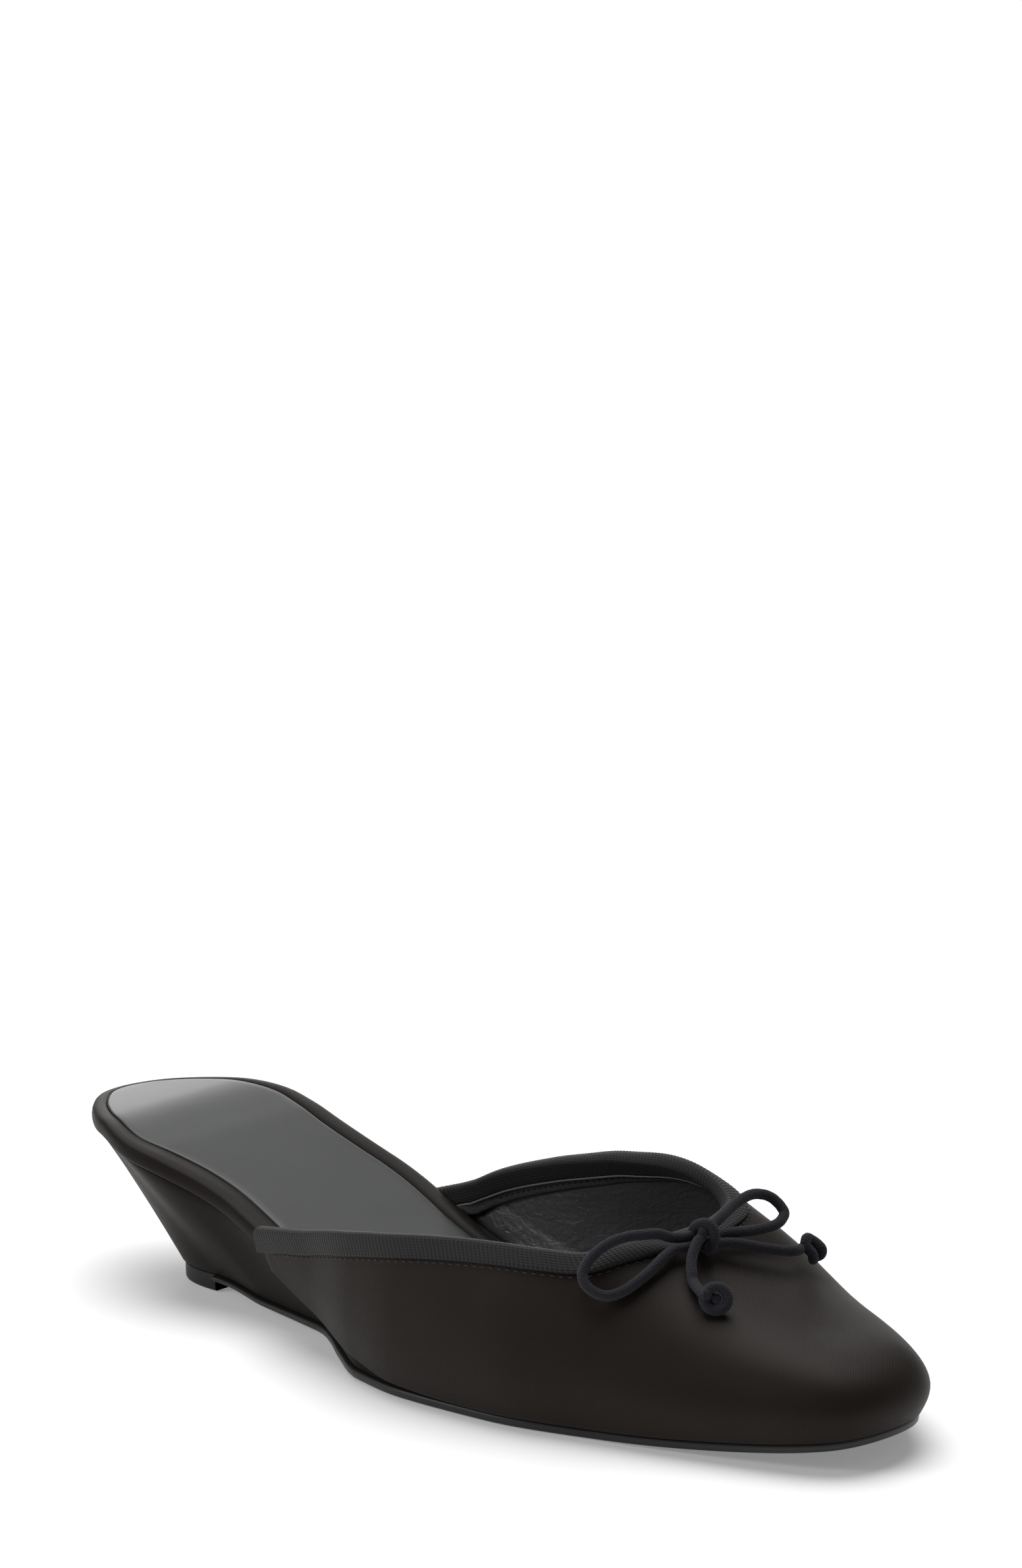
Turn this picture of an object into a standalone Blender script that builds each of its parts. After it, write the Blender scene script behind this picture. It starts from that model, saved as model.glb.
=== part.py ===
"""Right-foot wedge mule: satin upper with a bound topline, cord bow, wedge and thin sole.

The toe points to -Y and the wearer's outer side lies at -X. The shoe stands on its sole at Z = 0.
Lengths along the shoe are stations, 0 at the back of the heel seat and 1 at the tip of the insole.
"""
import math
from bisect import bisect_right
from collections import namedtuple

import bmesh
import bpy
from mathutils import Matrix, Vector

# Driving sizes, in metres
INSOLE_LENGTH = 0.2410
HEEL_WIDTH = 0.0565
BALL_WIDTH = 0.0755
HEEL_HEIGHT = 0.0381
THROAT_HEIGHT = 0.0368
TOE_SPRING = 0.0050
RIM_THICKNESS = 0.0038
UPPER_WALL = 0.0016
LASTING_MARGIN = 0.0060
BELLY = 0.0020
SOLE_THICKNESS = 0.0020
SOLE_BACK_THICKNESS = 0.0012
SOLE_SETBACK = 0.0005
SOCK_THICKNESS = 0.0007
SOCK_INSET = 0.0062
SOCK_HEEL_INSET = 0.0036
SOCK_RECESS = 0.0008
WEDGE_SETBACK = 0.0012
LIFT_HEIGHT = 0.0040
LIFT_SETBACK = 0.0015
RIBBON_THICKNESS = 0.0006
RIBBON_BAND = 0.0044
RIBBON_INNER_BAND = 0.0037
CORD_DIAMETER = 0.0023
BOW_SPAN = 0.0500
BOW_RISE = 0.0034
BOW_SHIFT = 0.0009
KNOT_RADIUS = 0.0033
END_KNOT_RADIUS = 0.0034
CLEARANCE = 0.0003
HIDDEN_GAP = 0.0007

# Stations along the shoe, as shares of the insole's length
LIFT_BACK = 0.125
LIFT_FRONT = 0.197
WEDGE_END = 0.549
SOLE_FLAT_START = 0.600
SPRING_START = 0.740
WIDTH_BLEND = (0.185, 0.493)
WING_START = {1: 0.324, -1: 0.328}
WING_SLANT = 0.020
THROAT = 0.7630
TOE_CREST = 0.905
BOW_STATION = 0.7925
OUTER = 1
INNER = -1

Outline = namedtuple("Outline", "station outer inner")
# Half widths of the insole board, as shares of the heel's or the ball's width
BOARD_ROWS = [
    Outline(0.000, 0.000, 0.000),
    Outline(0.007, 0.112, 0.122),
    Outline(0.021, 0.193, 0.213),
    Outline(0.050, 0.312, 0.328),
    Outline(0.085, 0.408, 0.422),
    Outline(0.144, 0.486, 0.506),
    Outline(0.267, 0.397, 0.490),
    Outline(0.411, 0.415, 0.369),
    Outline(0.493, 0.479, 0.340),
    Outline(0.554, 0.506, 0.355),
    Outline(0.657, 0.490, 0.419),
    Outline(0.770, 0.403, 0.462),
    Outline(0.883, 0.299, 0.360),
    Outline(0.965, 0.205, 0.215),
    Outline(0.985, 0.160, 0.155),
    Outline(0.996, 0.095, 0.090),
    Outline(1.000, 0.000, 0.000),
]

Waist = namedtuple("Waist", "station outer inner")
# Half widths of the sole, as shares of the board's
WAIST_ROWS = [
    Waist(0.000, 0.50, 0.48),
    Waist(0.197, 0.54, 0.50),
    Waist(0.287, 0.72, 0.56),
    Waist(0.370, 0.72, 0.62),
    Waist(0.441, 0.92, 0.72),
    Waist(0.493, 1.00, 0.82),
    Waist(0.554, 1.00, 0.92),
    Waist(0.637, 1.00, 1.00),
    Waist(1.000, 1.00, 1.00),
]

Rise = namedtuple("Rise", "station heel arch")
# Underside of the insole as a share of the heel's rise, and the sole's as a share of the lift
RISE_ROWS = [
    Rise(0.000, 0.970, 1.00),
    Rise(0.031, 0.990, 1.00),
    Rise(0.082, 1.000, 1.00),
    Rise(0.159, 0.898, 1.00),
    Rise(0.197, 0.812, 1.00),
    Rise(0.313, 0.510, 0.62),
    Rise(0.390, 0.308, 0.38),
    Rise(0.493, 0.098, 0.10),
    Rise(0.544, 0.031, 0.02),
    Rise(0.600, 0.007, 0.00),
    Rise(0.657, 0.000, 0.00),
    Rise(1.000, 0.000, 0.00),
]

Crest = namedtuple("Crest", "station height belly swell")
# Height of the ridge over the underside, as a share of the throat's, the belly's share, and how
# much higher the inner side of the instep stands, as a share of the throat's height
CREST_ROWS = [
    Crest(0.287, 2.15, 0.10, 0.00),
    Crest(0.441, 1.82, 0.70, 0.00),
    Crest(0.595, 1.46, 0.90, 0.01),
    Crest(0.698, 1.22, 0.90, 0.09),
    Crest(0.763, 0.99, 0.95, 0.07),
    Crest(0.842, 0.73, 1.00, 0.00),
    Crest(0.905, 0.57, 1.00, 0.00),
    Crest(1.000, 0.36, 1.00, 0.00),
]

Topline = namedtuple("Topline", "sweep outer inner")
# Girth at which the topline is cut, from the wing's end to the throat
TOPLINE_ROWS = [
    Topline(0.00, 0.064, 0.046),
    Topline(0.05, 0.127, 0.108),
    Topline(0.10, 0.182, 0.183),
    Topline(0.20, 0.297, 0.323),
    Topline(0.30, 0.395, 0.449),
    Topline(0.40, 0.466, 0.555),
    Topline(0.50, 0.520, 0.619),
    Topline(0.60, 0.567, 0.655),
    Topline(0.70, 0.626, 0.691),
    Topline(0.80, 0.762, 0.754),
    Topline(0.90, 0.895, 0.877),
    Topline(1.00, 1.000, 1.000),
]

BowPoint = namedtuple("BowPoint", "aside ahead rise")
# Routes of the bow's cord from its knot, as shares of the bow's span, towards +X, -Y and +Z
LOOP_OUTER_ROWS = [
    BowPoint(-0.016, -0.021, 0.007),
    BowPoint(-0.061, -0.037, -0.005),
    BowPoint(-0.120, -0.075, -0.002),
    BowPoint(-0.171, -0.110, 0.019),
    BowPoint(-0.228, -0.139, 0.023),
    BowPoint(-0.293, -0.171, 0.024),
    BowPoint(-0.362, -0.200, 0.012),
    BowPoint(-0.429, -0.220, -0.016),
    BowPoint(-0.488, -0.228, -0.055),
    BowPoint(-0.529, -0.220, -0.098),
    BowPoint(-0.541, -0.190, -0.136),
    BowPoint(-0.524, -0.145, -0.167),
    BowPoint(-0.491, -0.104, -0.178),
    BowPoint(-0.432, -0.066, -0.161),
    BowPoint(-0.367, -0.044, -0.129),
    BowPoint(-0.299, -0.034, -0.097),
    BowPoint(-0.224, -0.031, -0.059),
    BowPoint(-0.157, -0.031, -0.040),
    BowPoint(-0.084, -0.016, -0.042),
    BowPoint(-0.023, -0.016, -0.034),
]
LOOP_INNER_ROWS = [
    BowPoint(0.073, -0.025, 0.012),
    BowPoint(0.153, -0.037, 0.034),
    BowPoint(0.226, -0.053, 0.050),
    BowPoint(0.299, -0.062, 0.067),
    BowPoint(0.364, -0.063, 0.075),
    BowPoint(0.413, -0.056, 0.070),
    BowPoint(0.454, -0.032, 0.054),
    BowPoint(0.475, 0.000, 0.025),
    BowPoint(0.475, 0.035, -0.009),
    BowPoint(0.445, 0.051, -0.029),
    BowPoint(0.398, 0.059, -0.041),
    BowPoint(0.334, 0.054, -0.043),
    BowPoint(0.260, 0.039, -0.040),
    BowPoint(0.185, 0.025, -0.031),
    BowPoint(0.104, 0.007, -0.021),
    BowPoint(0.038, 0.007, -0.011),
]
TAIL_INNER_ROWS = [
    BowPoint(0.014, 0.022, -0.026),
    BowPoint(0.048, 0.037, -0.045),
    BowPoint(0.103, 0.069, -0.051),
    BowPoint(0.156, 0.102, -0.065),
    BowPoint(0.210, 0.135, -0.084),
    BowPoint(0.264, 0.167, -0.100),
    BowPoint(0.315, 0.193, -0.114),
    BowPoint(0.363, 0.211, -0.120),
    BowPoint(0.412, 0.213, -0.126),
]
TAIL_FRONT_ROWS = [
    BowPoint(-0.003, -0.001, 0.015),
    BowPoint(-0.034, 0.016, 0.005),
    BowPoint(-0.071, 0.030, -0.009),
    BowPoint(-0.114, 0.044, -0.043),
    BowPoint(-0.150, 0.064, -0.078),
    BowPoint(-0.180, 0.094, -0.112),
    BowPoint(-0.206, 0.130, -0.145),
    BowPoint(-0.222, 0.175, -0.171),
]

Finish = namedtuple("Finish", "color roughness metallic")
FINISHES = {
    "satin": Finish((0.022, 0.020, 0.019), 0.50, 0.0),
    "ribbon": Finish((0.030, 0.030, 0.033), 0.70, 0.0),
    "cord": Finish((0.028, 0.028, 0.034), 0.85, 0.0),
    "sock_leather": Finish((0.075, 0.080, 0.085), 0.45, 0.0),
    "sole": Finish((0.030, 0.031, 0.032), 0.45, 0.0),
    "rubber": Finish((0.018, 0.018, 0.018), 0.70, 0.0),
}


def monotone(places, values):
    """Return a smooth curve through the given values that never overshoots them."""
    steps = [b - a for a, b in zip(places, places[1:])]
    slopes = [(b - a) / step for a, b, step in zip(values, values[1:], steps)]
    tangents = [slopes[0]]
    for k in range(1, len(slopes)):
        before, after = slopes[k - 1], slopes[k]
        if before * after <= 0:
            tangents.append(0.0)
            continue
        near = 2 * steps[k] + steps[k - 1]
        far = steps[k] + 2 * steps[k - 1]
        tangents.append((near + far) / (near / before + far / after))
    tangents.append(slopes[-1])

    def value(place):
        place = min(max(place, places[0]), places[-1])
        k = min(bisect_right(places, place) - 1, len(steps) - 1)
        t = (place - places[k]) / steps[k]
        rise = (1 + 2 * t) * (1 - t) ** 2 * values[k] + t * t * (3 - 2 * t) * values[k + 1]
        lean = t * (1 - t) ** 2 * tangents[k] - t * t * (1 - t) * tangents[k + 1]
        return rise + steps[k] * lean

    return value


def columns(rows, names, place=lambda value: value):
    """Return one smooth curve for each named column of a table, over its first column."""
    places = [place(row[0]) for row in rows]
    return [monotone(places, [getattr(row, name) for row in rows]) for name in names]


def turn(station):
    """Return the angle whose cosine runs from heel to toe, so both ends of an outline are round."""
    return math.acos(max(-1.0, min(1.0, 1.0 - 2.0 * station)))


def ease(value, low, high):
    """Return 0 below low and 1 above high, with a soft step between them."""
    t = min(max((value - low) / (high - low), 0.0), 1.0)
    return t * t * (3 - 2 * t)


BOARD_OUTER, BOARD_INNER = columns(BOARD_ROWS, ("outer", "inner"), turn)
WAIST_OUTER, WAIST_INNER = columns(WAIST_ROWS, ("outer", "inner"))
HEEL_RISE, ARCH_RISE = columns(RISE_ROWS, ("heel", "arch"))
CREST_HEIGHT, CREST_BELLY, CREST_SWELL = columns(CREST_ROWS, ("height", "belly", "swell"))
TOP_OUTER, TOP_INNER = columns(TOPLINE_ROWS, ("outer", "inner"))


def board_half(side, station):
    """Half width of the insole board on one side."""
    share = BOARD_OUTER(turn(station)) if side == OUTER else BOARD_INNER(turn(station))
    return share * (HEEL_WIDTH + (BALL_WIDTH - HEEL_WIDTH) * ease(station, *WIDTH_BLEND))


def sole_half(side, station):
    """Half width of the sole before the upper's thickness is added."""
    share = WAIST_OUTER(station) if side == OUTER else WAIST_INNER(station)
    return share * board_half(side, station)


def base_half(side, station):
    """Half width of the wedge's foot, rounded at the back over the top lift."""
    if station >= LIFT_FRONT:
        return sole_half(side, station)
    back = (LIFT_FRONT - station) / (LIFT_FRONT - LIFT_BACK)
    return sole_half(side, LIFT_FRONT) * max(0.0, 1.0 - min(back, 1.0) ** 2.6) ** (1 / 2.6)


CENTRE_SHIFT = (board_half(OUTER, 0.56) - board_half(INNER, 0.77)) / 2
CENTRE_ALONG = (INSOLE_LENGTH + UPPER_WALL + CLEARANCE + BELLY) / 2


def world(side, along, aside, height):
    """Place a point given along the shoe, out from its axis, and up."""
    return Vector((CENTRE_SHIFT - side * aside, CENTRE_ALONG - along, height))


def spring(station):
    """Lift of the sole towards the toe."""
    return TOE_SPRING * max(0.0, (station - SPRING_START) / (1 - SPRING_START)) ** 2


def sole_thickness(station):
    """Thickness of the sole, thin at its back end."""
    return SOLE_BACK_THICKNESS + (SOLE_THICKNESS - SOLE_BACK_THICKNESS) * ease(station, LIFT_FRONT, 0.5)


def sole_top(station):
    """Height of the sole's upper face."""
    arch = (LIFT_HEIGHT - SOLE_BACK_THICKNESS) * ARCH_RISE(station)
    return arch + sole_thickness(station) + spring(station)


def sole_bottom(station):
    """Height of the sole's lower face."""
    return sole_top(station) - sole_thickness(station)


def underside(station):
    """Height of the insole board's and the lasting margin's lower face."""
    base = SOLE_THICKNESS + CLEARANCE
    return base + (HEEL_HEIGHT - RIM_THICKNESS - base) * HEEL_RISE(station) + spring(station)


def board_top(station):
    """Height of the satin rim round the sock."""
    return underside(station) + RIM_THICKNESS


def edge(half, side, station, out, start=0.0, end=1.0):
    """Return the outline's point (along, aside) at a station, moved out along its normal."""
    here = math.acos(max(-1.0, min(1.0, 1.0 - 2.0 * (station - start) / (end - start))))

    def at(angle):
        angle = min(max(angle, 0.0), math.pi)
        place = start + (end - start) * (1.0 - math.cos(angle)) / 2.0
        return Vector((place * INSOLE_LENGTH, half(side, place)))

    point = at(here)
    tangent = at(here + 0.004) - at(here - 0.004)
    normal = Vector((-tangent.y, tangent.x)).normalized()
    if point.y < 1e-6:
        point.y = 0.0
        normal = Vector((-1.0 if station < (start + end) / 2 else 1.0, 0.0))
    return point + normal * out, normal


def stations(start, end, count, extra=()):
    """Return stations that crowd at both ends of an outline."""
    places = [start + (end - start) * (1 - math.cos(math.pi * k / count)) / 2 for k in range(count + 1)]
    return sorted(set(places) | set(extra))


def make_object(name, points, faces, slot, part_collection):
    """Make a mesh object of points and faces, with its own material."""
    mesh = bpy.data.meshes.new(name)
    mesh.from_pydata([tuple(point) for point in points], [], faces)
    work = bmesh.new()
    work.from_mesh(mesh)
    bmesh.ops.remove_doubles(work, verts=work.verts, dist=1e-6)
    bmesh.ops.recalc_face_normals(work, faces=work.faces)
    if work.calc_volume(signed=True) < 0:
        bmesh.ops.reverse_faces(work, faces=work.faces)
    work.to_mesh(mesh)
    work.free()
    mesh.shade_smooth()
    mesh.set_sharp_from_angle(angle=math.radians(40))
    body = bpy.data.objects.new(name, mesh)
    part_collection.objects.link(body)
    body.data.materials.append(make_material(name, slot))
    return body


def make_material(name, slot):
    """Make a plain material for one sub-part."""
    finish = FINISHES[slot]
    material = bpy.data.materials.new(name + "_" + slot)
    material.use_nodes = True
    shader = material.node_tree.nodes["Principled BSDF"]
    shader.inputs["Base Color"].default_value = (*finish.color, 1.0)
    shader.inputs["Roughness"].default_value = finish.roughness
    shader.inputs["Metallic"].default_value = finish.metallic
    return material


def plate(name, layers, places, slot, part_collection):
    """Make a closed plate from layers, each a function of side and station that gives a point.

    Every layer is a ring: out along the outer side, and back along the inner one. The first and
    the last ring are closed by strips across the shoe, which follow its rise.
    """
    points = []
    faces = []
    count = len(places)
    for layer in layers:
        points += [layer(OUTER, place) for place in places]
        points += [layer(INNER, place) for place in reversed(places)]
    ring = 2 * count
    for level in range(len(layers) - 1):
        for k in range(ring):
            a = level * ring + k
            b = level * ring + (k + 1) % ring
            faces.append((a, b, b + ring, a + ring))
    for level in (0, len(layers) - 1):
        for k in range(count - 1):
            mate = level * ring + ring - 1 - k
            faces.append((level * ring + k, level * ring + k + 1, mate - 1, mate))
    return make_object(name, points, faces, slot, part_collection)


def layer_of(half, out, height, start=0.0, end=1.0):
    """Return a layer for a plate: an outline moved out, at a height worked out from its station."""
    def layer(side, station):
        move = out(station) if callable(out) else out
        point, _ = edge(half, side, station, move, start, end)
        return world(side, point.x, point.y, height(point.x / INSOLE_LENGTH))
    return layer


def sock_inset(station):
    """Distance from the board's edge to the sock's, narrow round the heel."""
    return SOCK_HEEL_INSET + (SOCK_INSET - SOCK_HEEL_INSET) * ease(station, 0.02, 0.22)


def insole_step():
    """Stations between which the insole's floor steps up over the upper's margin."""
    wing = min(WING_START.values())
    return wing - 0.010, wing - 0.002


def board_places():
    """Stations of the rings of the insole and of the sock that lies in it."""
    return stations(0.0, 1.0, 36, insole_step())


def build_insole(part_collection):
    """Insole board wrapped in satin, with a shallow bed for the sock."""
    step_start, step_end = insole_step()

    def floor(station):
        return underside(station) + (UPPER_WALL + CLEARANCE) * ease(station, step_start, step_end)

    def level(share):
        return lambda station: floor(station) + share * (board_top(station) - floor(station))

    def bed(station):
        return board_top(station) - SOCK_RECESS

    def inward(distance):
        return lambda station: -distance - (HIDDEN_GAP - CLEARANCE) * ease(station, step_start, step_end)

    layers = [
        layer_of(board_half, inward(0.0009), level(0.0)),
        layer_of(board_half, inward(0.0), level(0.22)),
        layer_of(board_half, inward(0.0), level(0.66)),
        layer_of(board_half, inward(0.0005), level(0.90)),
        layer_of(board_half, inward(0.0015), board_top),
        layer_of(board_half, lambda station: CLEARANCE - sock_inset(station), board_top),
        layer_of(board_half, lambda station: CLEARANCE / 2 - sock_inset(station), bed),
    ]
    return plate("insole", layers, board_places(), "satin", part_collection)


def build_sock(part_collection):
    """Leather sock lining laid in the insole's bed."""
    def low(station):
        return board_top(station) - SOCK_RECESS + CLEARANCE

    def high(station):
        return low(station) + SOCK_THICKNESS

    layers = [
        layer_of(board_half, lambda station: -sock_inset(station), low),
        layer_of(board_half, lambda station: -sock_inset(station), lambda station: high(station) - 0.0002),
        layer_of(board_half, lambda station: -sock_inset(station) - 0.0004, high),
    ]
    return plate("sock", layers, board_places(), "sock_leather", part_collection)


def build_outsole(part_collection):
    """Thin sole from the top lift to the toe."""
    out = UPPER_WALL + CLEARANCE - SOLE_SETBACK
    start = LIFT_FRONT + CLEARANCE / INSOLE_LENGTH
    layers = [
        layer_of(sole_half, out - 0.0005, sole_bottom, start),
        layer_of(sole_half, out, lambda station: sole_bottom(station) + 0.0004, start),
        layer_of(sole_half, out, lambda station: sole_top(station) - 0.0003, start),
        layer_of(sole_half, out - 0.0004, sole_top, start),
    ]
    places = stations(start, 1.0, 30, (SOLE_FLAT_START, SPRING_START))
    return plate("outsole", layers, places, "sole", part_collection)


def build_top_lift(part_collection):
    """Small rubber heel piece under the back of the wedge."""
    out = UPPER_WALL + CLEARANCE - SOLE_SETBACK - LIFT_SETBACK
    front = LIFT_FRONT
    layers = [
        layer_of(base_half, out - 0.0005, lambda station: 0.0, LIFT_BACK, front),
        layer_of(base_half, out, lambda station: 0.0006, LIFT_BACK, front),
        layer_of(base_half, out, lambda station: LIFT_HEIGHT, LIFT_BACK, front),
    ]
    return plate("top_lift", layers, stations(LIFT_BACK, front, 12), "rubber", part_collection)


def build_wedge(part_collection):
    """Satin-covered wedge, undercut at its back and sides and running out under the ball."""
    out = UPPER_WALL + CLEARANCE - SOLE_SETBACK - 0.0010

    def layer(share):
        def point_at(side, station):
            way = station / WEDGE_END
            foot_station = LIFT_BACK + (WEDGE_END - LIFT_BACK) * way
            head, _ = edge(board_half, side, station, -WEDGE_SETBACK)
            foot, _ = edge(base_half, side, foot_station, out, LIFT_BACK, 1.0)
            plan = head.lerp(foot, share)
            top = underside(head.x / INSOLE_LENGTH) - CLEARANCE
            low = max(sole_top(foot.x / INSOLE_LENGTH), LIFT_HEIGHT * (foot_station < LIFT_FRONT))
            return world(side, plan.x, plan.y, top + (low + CLEARANCE - top) * share)
        return point_at

    half_turn = [math.pi / 2 * k / 26 for k in range(27)]
    places = [WEDGE_END * (1 - math.cos(angle)) for angle in half_turn]
    layers = [layer(share) for share in (0.0, 0.06, 0.25, 0.5, 0.75, 0.94, 1.0)]
    return plate("wedge", layers, places, "satin", part_collection)


def crest_station(station):
    """Station of the ridge point that a rib of the upper runs to; the ribs fan out at the toe."""
    if station <= THROAT:
        return station
    way = (station - THROAT) / (1 - THROAT)
    return station - (1 - TOE_CREST) * way * way


def crest_top(station):
    """Height of the upper's ridge line."""
    return underside(station) + THROAT_HEIGHT * CREST_HEIGHT(station)


def crest_fall(station):
    """Fall of the ridge line towards the toe, per unit of length."""
    step = 0.002
    return (crest_top(station - step) - crest_top(station + step)) / (2 * step * INSOLE_LENGTH)


TUCK = 0.1
SIDE_POWER = 2.3
TOP_POWER = 1.9
BELLY_SHARE = 0.26


def upper_point(side, station, girth):
    """Point on the upper's outer face: girth is 0 at the feather edge, 1 on the ridge, 2 across."""
    if girth > 1:
        side = -side
        girth = 2 - girth
    feather, normal = edge(board_half, side, station, UPPER_WALL + CLEARANCE)
    ridge_at = crest_station(station)
    mate, _ = edge(board_half, -side, station, UPPER_WALL + CLEARANCE)
    fade = 1 - ease(station, THROAT, 1.0)
    lean = (feather.x + mate.x) / 2 - station * INSOLE_LENGTH
    ridge = Vector((ridge_at * INSOLE_LENGTH + lean * fade, 0.0))
    low = underside(station)
    top = crest_top(ridge_at)
    belly_at = BELLY_SHARE * THROAT_HEIGHT * min(1.0, CREST_HEIGHT(ridge_at))
    belly = normal * BELLY * CREST_BELLY(station)
    if girth < TUCK:
        plan = feather + belly * math.sin(math.pi / 2 * max(girth, 0.0) / TUCK)
        return world(side, plan.x, plan.y, low + belly_at * girth / TUCK)
    angle = math.pi / 2 * (girth - TUCK) / (1 - TUCK)
    reach = max(math.cos(angle), 0.0) ** (2 / SIDE_POWER)
    plan = ridge + (feather + belly - ridge) * reach
    height = low + belly_at + (top - low - belly_at) * math.sin(angle) ** (2 / TOP_POWER)
    height -= crest_fall(ridge_at) * (feather.x - ridge.x) * reach * (1 - reach) ** 1.5
    if side == INNER:
        height += THROAT_HEIGHT * CREST_SWELL(ridge_at) * math.sin(2 * angle) ** 2
    return world(side, plan.x, plan.y, height)


def top_edge(side, sweep):
    """Return the station and girth of the topline, from the wing's end at 0 to the throat at 1."""
    way = 1 - (1 - sweep) ** 2
    station = WING_START[side] + (THROAT - WING_START[side]) * way
    return station, TOP_OUTER(sweep) if side == OUTER else TOP_INNER(sweep)


def rib_base(side, sweep):
    """Station at the feather edge of the rib that ends on the topline at a sweep."""
    way = RIB_SPREAD * sweep + (1 - RIB_SPREAD) * (1 - (1 - sweep) ** 2)
    start = WING_START[side] + WING_SLANT
    return start + (THROAT - start) * way


RIB_SPREAD = 0.6
OPEN_RIBS = 20
TOE_RIBS = 14
GIRTH_SHARES = (0.0, 0.06, 0.13, 0.22, 0.34, 0.48, 0.62, 0.75, 0.88, 1.0)


def margin_point(side, station, share):
    """Move a feather point in under the insole by a share of the lasting margin."""
    feather, normal = edge(board_half, side, station, UPPER_WALL + CLEARANCE)
    plan = feather - normal * LASTING_MARGIN * share
    plan.y = max(plan.y, 0.0)
    return world(side, plan.x, plan.y, underside(plan.x / INSOLE_LENGTH))


def build_upper(part_collection):
    """Vamp of satin on leather: one wall, open at the throat and under the insole."""
    toe_angle = [math.pi / 2 * k / TOE_RIBS for k in range(1, TOE_RIBS + 1)]
    toe_stations = [THROAT + (1 - THROAT) * math.sin(angle) for angle in toe_angle]
    points = []
    faces = []
    rib_size = len(GIRTH_SHARES) + 1
    for side in (OUTER, INNER):
        first = len(points)
        ribs = [top_edge(side, k / OPEN_RIBS) for k in range(OPEN_RIBS + 1)]
        ribs += [(station, 1.0) for station in toe_stations]
        for index, (station, top) in enumerate(ribs):
            base = rib_base(side, index / OPEN_RIBS) if index < OPEN_RIBS else station
            rib = []
            for share in GIRTH_SHARES:
                place = base + (station - base) * share
                rib.append(upper_point(side, place, top * share))
            points.append(margin_point(side, base, min(1.0, (index + 2) / 7)))
            points += rib
        for row in range(len(ribs) - 1):
            for col in range(rib_size - 1):
                a = first + row * rib_size + col
                faces.append((a, a + 1, a + 1 + rib_size, a + rib_size))
    upper = make_object("upper", points, faces, "satin", part_collection)
    wall = upper.modifiers.new("wall", "SOLIDIFY")
    wall.thickness = UPPER_WALL
    wall.offset = -1.0
    wall.use_even_offset = True
    wall.thickness_clamp = 1.0
    return upper


def surface_frame(side, station, girth):
    """Return a point of the upper's outer face, its rates of change and its outward normal."""
    here = upper_point(side, station, girth)
    step = 0.0005
    along = (upper_point(side, station + step, girth) - upper_point(side, station - step, girth)) / (2 * step)
    low = max(girth - 0.002, 0.0)
    round_rate = (upper_point(side, station, girth + 0.002) - upper_point(side, station, low)) / (girth + 0.002 - low)
    normal = along.cross(round_rate).normalized()
    outward = Vector((here.x - CENTRE_SHIFT, 0.0, here.z - underside(station)))
    if normal.dot(outward) < 0:
        normal.negate()
    return here, along, round_rate, normal


def topline_points():
    """Places of the topline from the outer wing, round the throat, to the inner wing."""
    outer = [(OUTER, *top_edge(OUTER, k / OPEN_RIBS)) for k in range(OPEN_RIBS + 1)]
    inner = [(INNER, *top_edge(INNER, k / OPEN_RIBS)) for k in reversed(range(OPEN_RIBS))]
    return outer + inner


def build_binding(part_collection):
    """Ribbon folded over the topline, a channel that stands just clear of the upper's wall."""
    path = topline_points()
    centres = [upper_point(*place) for place in path]
    points = []
    faces = []
    thick = CLEARANCE + RIBBON_THICKNESS
    for index, (side, station, girth) in enumerate(path):
        here, along, round_rate, normal = surface_frame(side, station, girth)
        before = centres[max(index - 1, 0)]
        after = centres[min(index + 1, len(centres) - 1)]
        tangent = (after - before).normalized()
        down = tangent.cross(normal).normalized()
        a11, a12, a22 = along.dot(along), along.dot(round_rate), round_rate.dot(round_rate)
        b1, b2 = down.dot(along), down.dot(round_rate)
        scale = a11 * a22 - a12 * a12
        station_rate = (b1 * a22 - b2 * a12) / scale
        girth_rate = (b2 * a11 - b1 * a12) / scale
        room = here.z - board_top(station) - CLEARANCE
        outer_band = RIBBON_BAND
        if girth_rate < 0:
            outer_band = min(RIBBON_BAND, (girth - 0.01) / -girth_rate)
        inner_band = max(0.0002, min(RIBBON_INNER_BAND, room)) if abs(down.z) > 0.4 else RIBBON_INNER_BAND

        def on_face(depth, lift):
            if depth <= 0:
                return here + down * depth + normal * lift
            place = surface_frame(side, station + station_rate * depth, girth + girth_rate * depth)
            return place[0] + place[3] * lift

        inside = -UPPER_WALL
        within = inside - HIDDEN_GAP
        section = [
            (outer_band, thick), (outer_band / 2, thick), (0.0, thick),
            (-thick * 0.8, thick * 0.2), (-thick, inside / 2), (-thick * 0.8, within - thick * 0.2),
            (0.0, within - RIBBON_THICKNESS), (inner_band / 2, within - RIBBON_THICKNESS),
            (inner_band, within - RIBBON_THICKNESS), (inner_band, within), (inner_band / 2, within),
            (-CLEARANCE, within), (-CLEARANCE, CLEARANCE),
            (outer_band / 2, CLEARANCE), (outer_band, CLEARANCE),
        ]
        points += [on_face(depth, lift) for depth, lift in section]
    size = len(section)
    for row in range(len(path) - 1):
        for col in range(size):
            a = row * size + col
            b = row * size + (col + 1) % size
            faces.append((a, b, b + size, a + size))
    faces.append(tuple(range(size)))
    faces.append(tuple(reversed(range(len(points) - size, len(points)))))
    return make_object("binding", points, faces, "ribbon", part_collection)


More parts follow.
